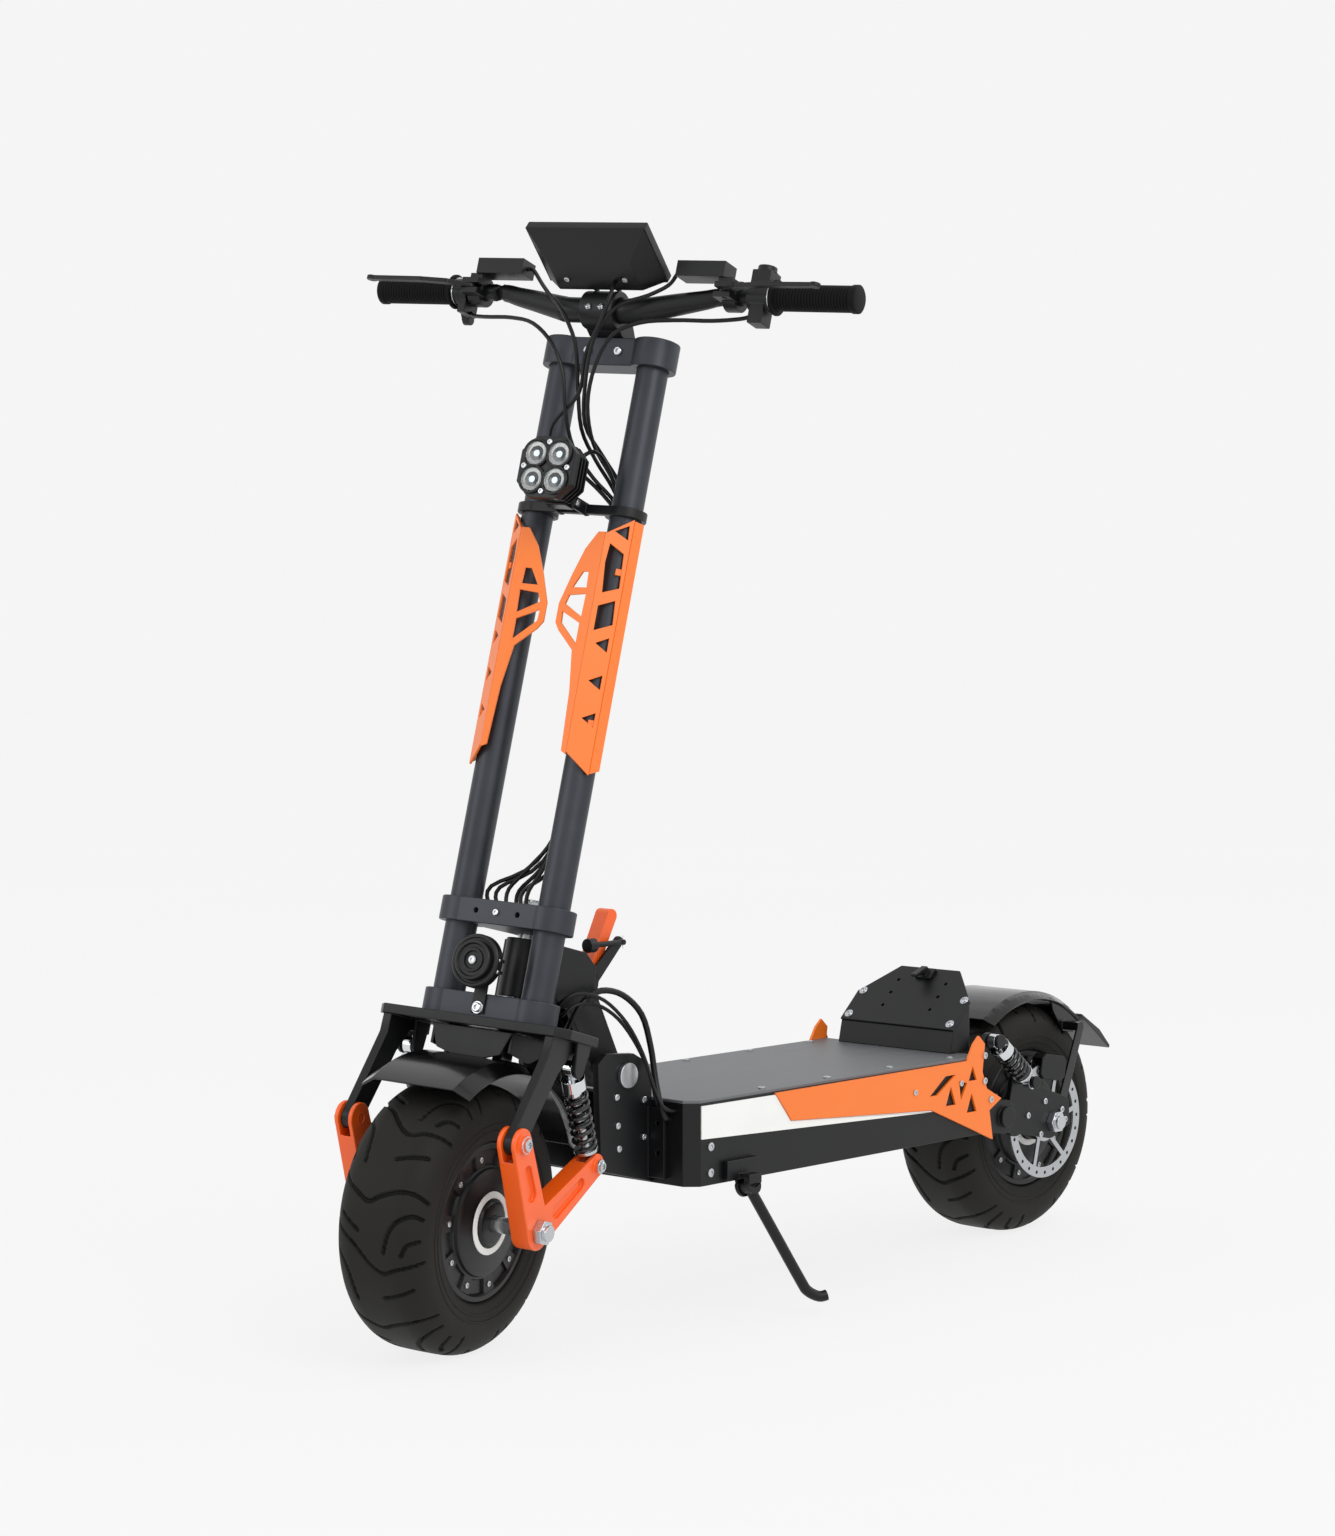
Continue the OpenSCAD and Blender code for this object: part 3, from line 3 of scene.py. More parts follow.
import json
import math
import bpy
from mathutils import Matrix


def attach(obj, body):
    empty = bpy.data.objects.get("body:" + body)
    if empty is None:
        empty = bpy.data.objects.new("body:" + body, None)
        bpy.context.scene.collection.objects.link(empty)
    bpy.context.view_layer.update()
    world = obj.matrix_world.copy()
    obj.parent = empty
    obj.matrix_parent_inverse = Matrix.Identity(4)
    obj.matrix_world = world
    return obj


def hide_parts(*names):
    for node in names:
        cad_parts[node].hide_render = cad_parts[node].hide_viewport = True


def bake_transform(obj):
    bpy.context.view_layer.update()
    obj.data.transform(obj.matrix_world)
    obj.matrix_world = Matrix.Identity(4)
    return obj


bl_info = {
    "name": "Electric Kick Scooter",
    "version": (1, 0, 0),
    "blender": (4, 5, 0),
    "location": "3D View > Sidebar > Scooter",
    "description": "Dresses an electric kick scooter on its frame and sets it in a studio",
    "category": "Object",
}

import bmesh
import bpy
import numpy as np
from bpy.props import FloatProperty, FloatVectorProperty, IntProperty, PointerProperty
from mathutils import Matrix, Vector

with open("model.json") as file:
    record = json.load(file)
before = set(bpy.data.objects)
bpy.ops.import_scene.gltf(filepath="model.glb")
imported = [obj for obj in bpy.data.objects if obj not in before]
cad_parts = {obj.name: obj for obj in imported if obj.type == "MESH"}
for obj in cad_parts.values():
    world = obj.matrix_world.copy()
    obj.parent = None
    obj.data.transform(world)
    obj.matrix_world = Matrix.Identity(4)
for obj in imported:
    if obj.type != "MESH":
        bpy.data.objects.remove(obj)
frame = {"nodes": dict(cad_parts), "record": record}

MM = Matrix.Scale(0.001, 4)
BOTH = (-1, 1)
# The ground frame starts under the rear axle. The head frame leans with the steering axis, and
# the fork frame also turns with the handlebar.
GROUND = Matrix.Translation((-0.544, -0.01626, 0)) @ MM
HEAD = (
    GROUND
    @ Matrix.Translation((1084, 0, 1.535))
    @ Matrix.Rotation(math.radians(-15), 4, "Y")
)
FORK = HEAD @ Matrix.Rotation(math.radians(12.8), 4, "Z")

FRONT_AXLE = Vector((66.85, 0, 152.9))
REAR_AXLE = Vector((0, 0, 165))
LOWER_YOKE_W = 394.9
BAR = Vector((92, 0, 1286.9))
GRIP = Vector((81, 0, 1310.9))
TUBE_U = 58
LAMP_FACE_U, LAMP_W = 162, 1065.9
HORN_FACE_U, HORN_W = 120, 459.9
DECK_HALF, DECK_TOP_Z = 138.5, 284
TYRE_R = 165
BODIES = frame["record"]["behaviour"]["bodies"]


def linear(text):
    """A colour written as sRGB hex, as linear red, green, blue and alpha."""
    levels = [int(text[i : i + 2], 16) / 255 for i in (1, 3, 5)]
    return tuple(
        v / 12.92 if v <= 0.04045 else ((v + 0.055) / 1.055) ** 2.4 for v in levels
    ) + (1.0,)


# ---------- settings ----------


class ScooterColours(bpy.types.PropertyGroup):
    side_orange: FloatVectorProperty(
        name="Side orange", description="Side plates and tube guards", subtype="COLOR",
        size=4, min=0, max=1, default=linear("#F27A1E"),
    )
    arm_orange: FloatVectorProperty(
        name="Arm orange", description="Front arms and latch lever", subtype="COLOR",
        size=4, min=0, max=1, default=linear("#F4620F"),
    )
    stem_grey: FloatVectorProperty(
        name="Stem grey", description="Anodised tubes and yokes", subtype="COLOR",
        size=4, min=0, max=1, default=linear("#4A4C52"),
    )


class ScooterSizes(bpy.types.PropertyGroup):
    edge: FloatProperty(
        name="Edge rounding", description="How far an edge of finish 1 is broken", unit="LENGTH",
        default=0.001, min=0.0001, max=0.003,
    )
    tread_depth: FloatProperty(
        name="Tread depth", description="Depth of the tyre's grooves", unit="LENGTH",
        default=0.003, min=0.0005, max=0.006,
    )
    tread_repeats: IntProperty(
        name="Tread repeats", description="How often the tread pattern comes round the tyre",
        default=6, min=3, max=12,
    )
    cable: FloatProperty(
        name="Cable", description="Outside diameter of a control cable", unit="LENGTH",
        default=0.0052, min=0.002, max=0.01,
    )


class ScooterStudio(bpy.types.PropertyGroup):
    lens: FloatProperty(
        name="Lens", description="Focal length of the camera", unit="CAMERA",
        default=81.89, min=20, max=300,
    )
    key_power: FloatProperty(
        name="Key light", description="Power of the large soft light", unit="POWER",
        default=70, min=0, max=5000,
    )
    fill_power: FloatProperty(
        name="Fill light", description="Power of the light from the other side", unit="POWER",
        default=25, min=0, max=5000,
    )


# ---------- materials ----------


def add(tree, kind, settings=None, links=None):
    """Adds a node. Settings are its own fields or its inputs' values; links are inputs' sources."""
    node = tree.nodes.new(kind)
    for key, value in (settings or {}).items():
        if isinstance(key, str) and hasattr(node, key):
            setattr(node, key, value)
        else:
            node.inputs[key].default_value = value
    for key, source in (links or {}).items():
        tree.links.new(source, node.inputs[key])
    return node


def start(name, sockets):
    """A new material, its node tree, its shader and the place that patterns read."""
    material = bpy.data.materials.new(name)
    material.use_nodes = True
    tree = material.node_tree
    shader = tree.nodes["Principled BSDF"]
    for key, value in sockets.items():
        shader.inputs[key].default_value = value
    return tree, shader, add(tree, "ShaderNodeTexCoord").outputs["Object"]


def wire(tree, shader, tone, gloss, bump):
    tree.links.new(tone.outputs[2], shader.inputs["Base Color"])
    tree.links.new(gloss.outputs["Result"], shader.inputs["Roughness"])
    tree.links.new(bump.outputs["Normal"], shader.inputs["Normal"])


def surface(name, colour, shade, roughness, spread, grain, relief, **sockets):
    """A surface whose tone and gloss drift gently, with a fine grain standing in relief."""
    tree, shader, place = start(name, {k.replace("_", " "): v for k, v in sockets.items()})
    drift = add(tree, "ShaderNodeTexNoise", {"Scale": 11, "Detail": 5, "Roughness": 0.62}, {"Vector": place})
    tone = add(
        tree, "ShaderNodeMix", {"data_type": "RGBA", 6: linear(shade) if isinstance(shade, str) else shade,
                                7: linear(colour) if isinstance(colour, str) else colour},
        {0: drift.outputs["Fac"]},
    )
    gloss = add(
        tree, "ShaderNodeMapRange",
        {"From Min": 0.3, "From Max": 0.7, "To Min": roughness - spread, "To Max": roughness + spread},
        {"Value": drift.outputs["Fac"]},
    )
    speck = add(tree, "ShaderNodeTexNoise", {"Scale": 1000 / grain, "Detail": 2}, {"Vector": place})
    bump = add(
        tree, "ShaderNodeBump", {"Strength": 1.0, "Distance": relief / 1000},
        {"Height": speck.outputs["Fac"]},
    )
    wire(tree, shader, tone, gloss, bump)
    return tree, shader


def brushed(name, colour, shade, roughness, stretch, line, **sockets):
    """Metal or coating with fine parallel lines left by brushing; stretch squeezes the lines' direction."""
    tree, shader, place = start(name, {k.replace("_", " "): v for k, v in sockets.items()})
    along = add(tree, "ShaderNodeMapping", {"Scale": stretch}, {"Vector": place})
    lines = add(
        tree, "ShaderNodeTexNoise", {"Scale": 1000 / line, "Detail": 3, "Roughness": 0.7},
        {"Vector": along.outputs["Vector"]},
    )
    tone = add(
        tree, "ShaderNodeMix", {"data_type": "RGBA", 6: linear(shade), 7: linear(colour)},
        {0: lines.outputs["Fac"]},
    )
    gloss = add(
        tree, "ShaderNodeMapRange",
        {"From Min": 0.3, "From Max": 0.7, "To Min": roughness - 0.06, "To Max": roughness + 0.08},
        {"Value": lines.outputs["Fac"]},
    )
    bump = add(
        tree, "ShaderNodeBump", {"Strength": 0.5, "Distance": 0.00003},
        {"Height": lines.outputs["Fac"]},
    )
    wire(tree, shader, tone, gloss, bump)
    return tree, shader


def make_materials():
    colours = bpy.context.scene.scooter_colours
    # Polyester powder coat, baked: a satin black with the faint orange peel of powder.
    surface("powder_coat_black", "#101113", "#0A0B0D", 0.4, 0.05, 0.9, 0.015, Specular_IOR_Level=0.32)
    # Type II anodising over drawn tube: dark blue-grey, metallic but matte, with a soft streak of light.
    surface(
        "anodised_grey", tuple(colours.stem_grey), "#33353A", 0.42, 0.04, 0.35, 0.006, Metallic=0.7,
        Specular_IOR_Level=0.3,
    )
    # Satin orange powder coat on laser-cut plate; its cut edges catch a paler light.
    surface(
        "powder_coat_orange", tuple(colours.side_orange), "#E86C12", 0.38, 0.05, 0.8, 0.015,
        Coat_Weight=0.15, Coat_Roughness=0.3,
    )
    # The same powder coat in a redder batch, on the machined arms and the latch.
    surface(
        "powder_coat_red_orange", tuple(colours.arm_orange), "#EA540C", 0.36, 0.05, 0.8, 0.015,
        Coat_Weight=0.2, Coat_Roughness=0.25,
    )
    # Reflective tape under a clear film: nearly white and evenly lit.
    surface("reflective_tape", "#EDEDEA", "#E2E3E0", 0.35, 0.04, 1.6, 0.004)
    # Brushed and anodised deck plate: streaks run along the deck.
    brushed("brushed_deck", "#77787A", "#55575A", 0.5, (0.02, 1, 1), 1.6, Metallic=0.35)
    # Zinc-plated steel: bright, slightly soft reflections.
    surface("zinc_steel", "#D0D2D4", "#B9BCC0", 0.28, 0.08, 0.5, 0.004, Metallic=1.0)
    # Chromium plate over turned steel: a mirror with slight haze.
    surface("chrome_plate", "#E0E2E4", "#D2D5D8", 0.12, 0.04, 0.7, 0.002, Metallic=1.0)
    # Disc rotor steel, ground across its faces.
    brushed("ground_steel", "#C4C6C8", "#A7AAAD", 0.3, (1, 1, 0.2), 0.9, Metallic=1.0)
    # ABS moulded against a spark-eroded tool: fine matte grain.
    surface("moulded_abs", "#0F1011", "#0A0A0B", 0.42, 0.05, 0.5, 0.02, IOR=1.53, Specular_IOR_Level=0.3)
    # Polypropylene fender, polished tool: wet black with broad reflections.
    surface(
        "polished_black", "#0A0A0B", "#060607", 0.22, 0.04, 4.0, 0.01, Coat_Weight=0.3,
        Coat_Roughness=0.1, Specular_IOR_Level=0.35,
    )
    # PVC shrink wrap over the cells.
    surface("shrink_wrap", "#2F5D8A", "#27507A", 0.35, 0.05, 5.0, 0.05)
    # EPDM grips: soft, dusty black.
    surface("epdm_grip", "#0E0E0E", "#080808", 0.6, 0.06, 0.6, 0.03, Specular_IOR_Level=0.12)
    # Die-cast aluminium under black paint: the casting's skin shows as low soft bumps.
    surface("cast_black", "#0F1011", "#090A0B", 0.36, 0.07, 2.2, 0.03, Specular_IOR_Level=0.35)
    # Spring wire, shot-peened and lacquered black.
    surface(
        "lacquered_spring", "#141414", "#0C0C0D", 0.24, 0.05, 0.7, 0.02, Coat_Weight=0.4,
        Coat_Roughness=0.15,
    )
    # Polycarbonate button cap.
    surface("red_cap", "#C7281E", "#A81E16", 0.25, 0.04, 1.2, 0.01)
    # PVC cable jacket: smooth, with a low sheen.
    surface("cable_jacket", "#0B0B0C", "#070708", 0.36, 0.05, 1.4, 0.01, Specular_IOR_Level=0.3)
    # Vacuum-metallised reflector bowl.
    surface("reflector_bowl", "#9A9A98", "#7C7D7B", 0.1, 0.03, 2.5, 0.05, Metallic=1.0)
    # Toughened screen glass over a dark panel.
    surface(
        "screen_glass", "#08090B", "#050607", 0.06, 0.02, 8.0, 0.002, Coat_Weight=1.0,
        Coat_Roughness=0.03,
    )
    # Lamp chips: a pale lit white.
    surface(
        "lit_chip", "#DDE9F2", "#D2E0EA", 0.4, 0.05, 1.0, 0.002, Emission_Color=linear("#CFE6F5"),
        Emission_Strength=0.8,
    )
    # Borosilicate lens: clear, only its highlights show.
    surface("lens_glass", "#FFFFFF", "#F4F8FA", 0.03, 0.01, 6.0, 0.002, Transmission_Weight=1.0, IOR=1.47)
    # Tyre tread compound: warm, dusty carbon black, with painted shade that darkens it down in the grooves.
    tree, shader = surface(
        "tread_compound", "#22211F", "#191816", 0.62, 0.07, 0.7, 0.05, Specular_IOR_Level=0.18,
    )
    # Painted shade: a mask set in the grooves mixes the rubber's colour towards near black there.
    cut = add(tree, "ShaderNodeAttribute", {"attribute_name": "groove_shade_mask"})
    base = shader.inputs["Base Color"].links[0].from_socket
    painted_groove_shade = add(
        tree, "ShaderNodeMix", {"data_type": "RGBA", 7: linear("#020202")},
        {0: cut.outputs["Fac"], 6: base},
    )
    tree.links.new(painted_groove_shade.outputs[2], shader.inputs["Base Color"])


# ---------- mesh helpers ----------


SHARP = math.radians(32)


def body_of(node):
    return next(body for body, nodes in BODIES.items() if node in nodes)


def finished(bm, name, place, body, material, stands_for=(), crease=35, recalc=True):
    """Turns a bmesh into a piece that rides on a body: doubles merged, normals out, edges smooth below the crease."""
    if place is not None:
        bmesh.ops.transform(bm, matrix=place, verts=bm.verts)
    if recalc:
        bmesh.ops.remove_doubles(bm, verts=bm.verts, dist=0.000002)
        bmesh.ops.recalc_face_normals(bm, faces=bm.faces)
    mesh = bpy.data.meshes.new(name)
    bm.to_mesh(mesh)
    bm.free()
    mesh.shade_smooth()
    mesh.set_sharp_from_angle(angle=math.radians(crease))
    mesh.materials.append(bpy.data.materials[material])
    piece = bpy.data.objects.new(name, mesh)
    bpy.context.scene.collection.objects.link(piece)
    weigh = piece.modifiers.new("Weighted normals", "WEIGHTED_NORMAL")
    weigh.keep_sharp = True
    if body:
        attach(piece, body)
    if stands_for:
        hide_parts(*stands_for)
    return piece


def reworked(node, material, edge):
    """A copy of a frame part, with its flats joined up and its sharp edges broken, that stands for it."""
    bm = bmesh.new()
    bm.from_mesh(frame["nodes"][node].data)
    bmesh.ops.remove_doubles(bm, verts=bm.verts, dist=0.000003)
    bmesh.ops.dissolve_limit(bm, angle_limit=math.radians(0.6), verts=bm.verts, edges=bm.edges)
    bmesh.ops.dissolve_degenerate(bm, dist=0.00002, edges=bm.edges)
    width = bpy.context.scene.scooter_sizes.edge * edge
    if width:
        sharp = [e for e in bm.edges if len(e.link_faces) == 2 and e.calc_face_angle(0) > SHARP]
        bmesh.ops.bevel(
            bm, geom=sharp, offset=width, offset_type="OFFSET", segments=2, profile=0.5,
            affect="EDGES", clamp_overlap=False, material=-1,
        )
    return finished(bm, node + "_finished", None, body_of(node), material, (node,), crease=38)


def turned(bm, profile, steps, closed=False):
    """Spins a profile of (radius, along) points about the local Y axis."""
    ring = [bm.verts.new((r, y, 0)) for r, y in profile]
    pairs = list(zip(ring, ring[1:] + ring[:1])) if closed else list(zip(ring, ring[1:]))
    edges = [bm.edges.new(pair) for pair in pairs]
    bmesh.ops.spin(
        bm, geom=ring + edges, cent=(0, 0, 0), axis=(0, 1, 0), angle=math.tau, steps=steps, use_merge=True
    )
    bmesh.ops.remove_doubles(bm, verts=bm.verts, dist=0.0005)


def stamp(bm, part, matrix):
    """Adds a placed copy of one bmesh to another, and frees the part."""
    mesh = bpy.data.meshes.new("part")
    part.to_mesh(mesh)
    mesh.transform(matrix, shape_keys=False)
    if matrix.to_3x3().determinant() < 0:
        mesh.flip_normals()
    bm.from_mesh(mesh)
    bpy.data.meshes.remove(mesh)
    part.free()


def ring(bm, profile, steps, matrix, closed=True):
    """Adds a turned ring or knob, placed."""
    part = bmesh.new()
    turned(part, profile, steps, closed)
    bmesh.ops.recalc_face_normals(part, faces=part.faces)
    stamp(bm, part, matrix)


def aim(at, out):
    """A frame at a point, its Z along out."""
    return Matrix.Translation(at) @ Vector(out).to_track_quat("Z", "Y").to_matrix().to_4x4()


def bolt(bm, at, out, radius, height, washer=0.0):
    """A socket-head bolt standing on a point: a turned head with a broken rim and a sunk socket."""
    profile = [(0, -1), (radius, -1), (radius, height * 0.8), (radius * 0.82, height)]
    if washer:
        profile[1:3] = [(
            washer, -1,
        ), (washer, 0.6), (washer * 0.95, 0.9), (radius, 0.9), (radius, height * 0.8)]
    profile += [(radius * 0.52, height), (radius * 0.48, height * 0.4), (0, height * 0.36)]
    part = bmesh.new()
    turned(part, profile, 14)
    bmesh.ops.recalc_face_normals(part, faces=part.faces)
    stamp(bm, part, aim(at, out) @ Matrix.Rotation(math.radians(90), 4, "X"))


def tube(points, radius, sides=10):
    """A round tube along points, as a bmesh. Radius is one number or one for each point."""
    curve = bpy.data.curves.new("run", "CURVE")
    curve.dimensions = "3D"
    curve.bevel_depth = 1.0
    curve.bevel_resolution = max(0, sides // 2 - 2)
    curve.use_fill_caps = True
    curve.twist_mode = "MINIMUM"
    run = curve.splines.new("POLY")
    run.points.add(len(points) - 1)
    for k, point in enumerate(points):
        run.points[k].co = (*point, 1)
        run.points[k].radius = radius if isinstance(radius, (int, float)) else radius[k]
    holder = bpy.data.objects.new("run", curve)
    bm = bmesh.new()
    bm.from_mesh(holder.to_mesh())
    holder.to_mesh_clear()
    bpy.data.objects.remove(holder)
    bpy.data.curves.remove(curve)
    bmesh.ops.remove_doubles(bm, verts=bm.verts, dist=0.001)
    return bm


def eased(points, steps):
    """A smooth curve through given points, with some steps between each two."""
    p = [Vector(q) for q in points]
    out = []
    for i in range(len(p) - 1):
        a, b, c, d = p[max(i - 1, 0)], p[i], p[i + 1], p[min(i + 2, len(p) - 1)]
        for k in range(steps):
            t = k / steps
            out.append(0.5 * (2 * b + (c - a) * t + (2 * a - 5 * b + 4 * c - d) * t * t + (3 * b - a - 3 * c + d) * t**3))
    return out + [p[-1]]


def joined(parts):
    """One bmesh from several."""
    whole = bmesh.new()
    for part in parts:
        mesh = bpy.data.meshes.new("part")
        part.to_mesh(mesh)
        part.free()
        whole.from_mesh(mesh)
        bpy.data.meshes.remove(mesh)
    return whole


# ---------- pieces ----------

# Which finish, record slot and share of the edge rounding each reworked frame part takes.
REWORKED = {
    "powder_coat_black": ("black_coat", {
        "deck_shell": 1.2, "rear_box": 1.4, "rear_box_lid": 0.9, "stem_catch": 0.8, "hinge_plates": 0.9,
        "kickstand_bracket": 0.9, "neck": 1.0, "latch_bracket": 0.7, "front_fork": 1.2,
        "lamp_bracket": 0.9, "bar_clamp": 1.2, "swingarms": 1.2, "brake_perches": 0.4,
        "brake_lever_left": 0.9, "brake_lever_right": 0.9, "front_caliper": 1.2, "rear_caliper": 1.2,
    }),
    "anodised_grey": ("grey_anodised", {
        "stem_tubes": 0.6, "top_yoke": 1.4, "middle_yoke": 1.4, "lower_yoke": 1.4,
    }),
    "powder_coat_orange": ("orange_coat", {"side_plates": 0.5, "tube_guards": 0.5}),
    "powder_coat_red_orange": ("red_orange_coat", {"front_arms": 1.6, "latch_lever": 1.4}),
    "reflective_tape": ("white_strip", {"side_strips": 0.3}),
    "brushed_deck": ("deck_mat", {"deck_top": 0.8}),
    "zinc_steel": ("steel", {
        "fold_bolt": 0.9, "steerer": 0.6, "front_axle_shaft": 0.8, "rear_axle_shaft": 0.8,
        "head_bearings": 0.4, "front_shock_rods": 0.5, "rear_shock_rods": 0.5,
    }),
    "chrome_plate": ("chrome", {"front_shock_bodies": 0.4, "rear_shock_bodies": 0.4}),
    "ground_steel": ("steel", {"front_disc": 0.3, "rear_disc": 0.3}),
    "moulded_abs": ("black_plastic", {
        "display": 1.3, "throttle_housing": 1.0, "switch_pod": 1.4, "throttle_paddle": 1.0,
    }),
    "polished_black": ("gloss_black", {"front_fender": 0.8, "rear_fender": 0.8}),
    "shrink_wrap": ("battery_wrap", {"battery_and_controller": 1.5}),
    "red_cap": ("button_red", {"horn_button": 0.6}),
}


class SCOOTER_OT_frame(bpy.types.Operator):
    """Breaks the edges of the frame's parts and gives each its finish"""

    bl_idname = "scooter.frame"
    bl_label = "Frame parts"

    def execute(self, context):
        for material, (slot, parts) in REWORKED.items():
            for node, edge in parts.items():
                reworked(node, material, edge)
        return {"FINISHED"}


FRONT_WHEEL = FORK @ Matrix.Translation(FRONT_AXLE)
REAR_WHEEL = GROUND @ Matrix.Translation(REAR_AXLE)

# The grooves of one repeat of the tread, as (across the crown, around the tyre) points.
TREAD = (
    ((-68, -46), (-45, -22), (-26, -9), (-8, 0), (8, -8), (30, -16), (50, -17), (70, -10)),
    ((-70, 18), (-46, 37), (-24, 52), (0, 75), (18, 84), (35, 78), (56, 74), (70, 72)),
    ((67, 13), (52, 10), (35, 19), (25, 34), (19, 58)),
    ((64, 42), (49, 47), (42, 60)),
    ((-44, 18), (-18, 36)),
    ((-58, 60), (-36, 83), (-27, 126)),
    ((52, 107), (14, 118)),
    ((-66, 84), (-56, 108), (-52, 122)),
)


def carve(bm, depth, repeats):
    """Presses the tread's grooves into a tyre's crown and shoulders, and marks them with a mask for painted shade in
    the rubber's colour.
    """
    span = math.tau * TYRE_R / repeats
    spots = np.array([v.co for v in bm.verts])
    reach = np.hypot(spots[:, 0], spots[:, 2])
    side = np.clip(np.abs(spots[:, 1]) - 24, 0, 38.5)
    across = np.sign(spots[:, 1]) * (np.minimum(np.abs(spots[:, 1]), 24) + 37.8 * np.arcsin(side / 38.5))
    around = np.mod(-np.arctan2(spots[:, 2], spots[:, 0]) * TYRE_R, span)
    near = np.full(len(spots), 99.0)
    for line in TREAD:
        path = eased([(a, b * span / 172.8, 0) for a, b in line], 5)
        for p, q in zip(path, path[1:]):
            for lap in (-span, 0, span):
                dx, dy = q.x - p.x, q.y - p.y
                t = np.clip(((across - p.x) * dx + (around - p.y - lap) * dy) / (dx * dx + dy * dy), 0, 1)
                near = np.minimum(near, np.hypot(across - p.x - t * dx, around - p.y - lap - t * dy))
    near[(reach < 128) | (np.abs(across) > 74)] = 99
    cut = np.clip((2.9 - near) / 1.1, 0, 1)
    cut = cut * cut * (3 - 2 * cut)
    # The groove share is stored as the mask for painted shade down in the grooves.
    shade_mask_layer = bm.verts.layers.float.new("groove_shade_mask")
    for vert, share in zip(bm.verts, cut):
        vert[shade_mask_layer] = share
        if share:
            r = math.hypot(vert.co.x, vert.co.z)
            y = vert.co.y
            inward = Vector((128 - r, math.copysign(24, y) - y)) if abs(y) > 24 else Vector((-1, 0))
            inward = inward.normalized() * (depth * share)
            scale = (r + inward.x) / r
            vert.co = (vert.co.x * scale, y + inward.y, vert.co.z * scale)


class SCOOTER_OT_tyres(bpy.types.Operator):
    """Builds both tyres, with moulded tread grooves and ribbed sidewalls"""

    bl_idname = "scooter.tyres"
    bl_label = "Tyres"

    def execute(self, context):
        sizes = context.scene.scooter_sizes
        for name, place, body in (("front_tyre", FRONT_WHEEL, "front_wheel"), ("rear_tyre", REAR_WHEEL, "rear_wheel")):
            crown = [(TYRE_R - 0.0006 * y * y, y) for y in np.linspace(0, 24, 15)]
            shoulder = [
                (TYRE_R - 0.35 - 36.6 * (1 - math.cos(a)), 24 + 38.5 * math.sin(a))
                for a in np.radians(np.linspace(0, 90, 37))[1:]
            ]
            wall = [
                (124, 62.6), (121.5, 62.2), (120.8, 63.1), (118.6, 62.9), (118, 61.7), (113, 60.6),
                (112.2, 61.4), (110, 61.0), (109.4, 59.8), (105, 58.4), (101, 57.4), (98.1, 54.5),
                (98.1, 42.5), (118, 48.5), (141, 46.5), (151, 24),
            ]
            half = crown + shoulder + wall
            profile = half + [(r, -y) for r, y in reversed(half[1:])]
            bm = bmesh.new()
            turned(bm, profile, 760, closed=True)
            carve(bm, sizes.tread_depth * 1000, sizes.tread_repeats)
            finished(bm, name + "_moulded", place, body, "tread_compound", (name,), crease=50)
        return {"FINISHED"}


class SCOOTER_OT_hubs(bpy.types.Operator):
    """Builds both hub motors: pocketed covers, cover bolts, seal rings and disc carriers"""

    bl_idname = "scooter.hubs"
    bl_label = "Hub motors"

    def execute(self, context):
        cover = [
            (10.4, 66), (24, 66), (26.5, 64.5), (28, 61.4), (40, 61), (42, 59.6), (60, 58.4), (65, 56.6),
            (66.5, 53), (69, 52.2), (88, 52.8), (90, 55), (95.5, 54.8), (97.8, 53),
        ]
        for name, place, body, disc_side in (
            ("front_hub_motor", FRONT_WHEEL, "front_wheel", -1),
            ("rear_hub_motor", REAR_WHEEL, "rear_wheel", 1),
        ):
            bm = bmesh.new()
            turned(bm, cover + [(r, -y) for r, y in reversed(cover)], 100, closed=True)
            bmesh.ops.recalc_face_normals(bm, faces=bm.faces)
            pockets = []
            for face in bm.faces:
                at = face.calc_center_median()
                turn = math.degrees(math.atan2(at.z, at.x)) % 36
                if 70 < math.hypot(at.x, at.z) < 88 and abs(at.y) > 50 and turn < 21.5:
                    pockets.append(face)
            bmesh.ops.inset_region(bm, faces=pockets, thickness=1.6, depth=-3.2)
            ring(bm, [(18.6, 65), (29, 65), (29, 86), (18.6, 86)], 48, Matrix.Diagonal((1, disc_side, 1, 1)))
            finished(bm, name + "_cast", place, body, "cast_black", (name,))

            bm = bmesh.new()
            for side in BOTH:
                for k in range(10):
                    a = math.radians(36 * k + 28.8)
                    bolt(bm, (79 * math.cos(a), side * 52.3, 79 * math.sin(a)), (0, side, 0), 3.6, 2.2)
            for k in range(6):
                a = math.radians(60 * k + 10)
                bolt(
                    bm, (23.6 * math.cos(a), disc_side * 89, 23.6 * math.sin(a)), (0, disc_side, 0),
                    3.2, 2.4,
                )
            finished(bm, name + "_bolts", place, body, "zinc_steel", recalc=False)

            bm = bmesh.new()
            for side in BOTH:
                ring(
                    bm, [(30, 60.6), (30.6, 62.2), (38, 62.2), (38.8, 60.6)], 64,
                    Matrix.Diagonal((1, side, 1, 1)),
                )
            finished(bm, name + "_seals", place, body, "reflective_tape")
        return {"FINISHED"}


def coil(top, low, turns):
    """The centreline of a shock's spring, in the frame of its two eyes."""
    length = (Vector(top) - Vector(low)).length
    a, b = -length + 27, -31
    return [
        (13 * math.cos(math.tau * k / 20), 13 * math.sin(math.tau * k / 20), a + (b - a) * k / (turns * 20))
        for k in range(turns * 20 + 1)
    ]


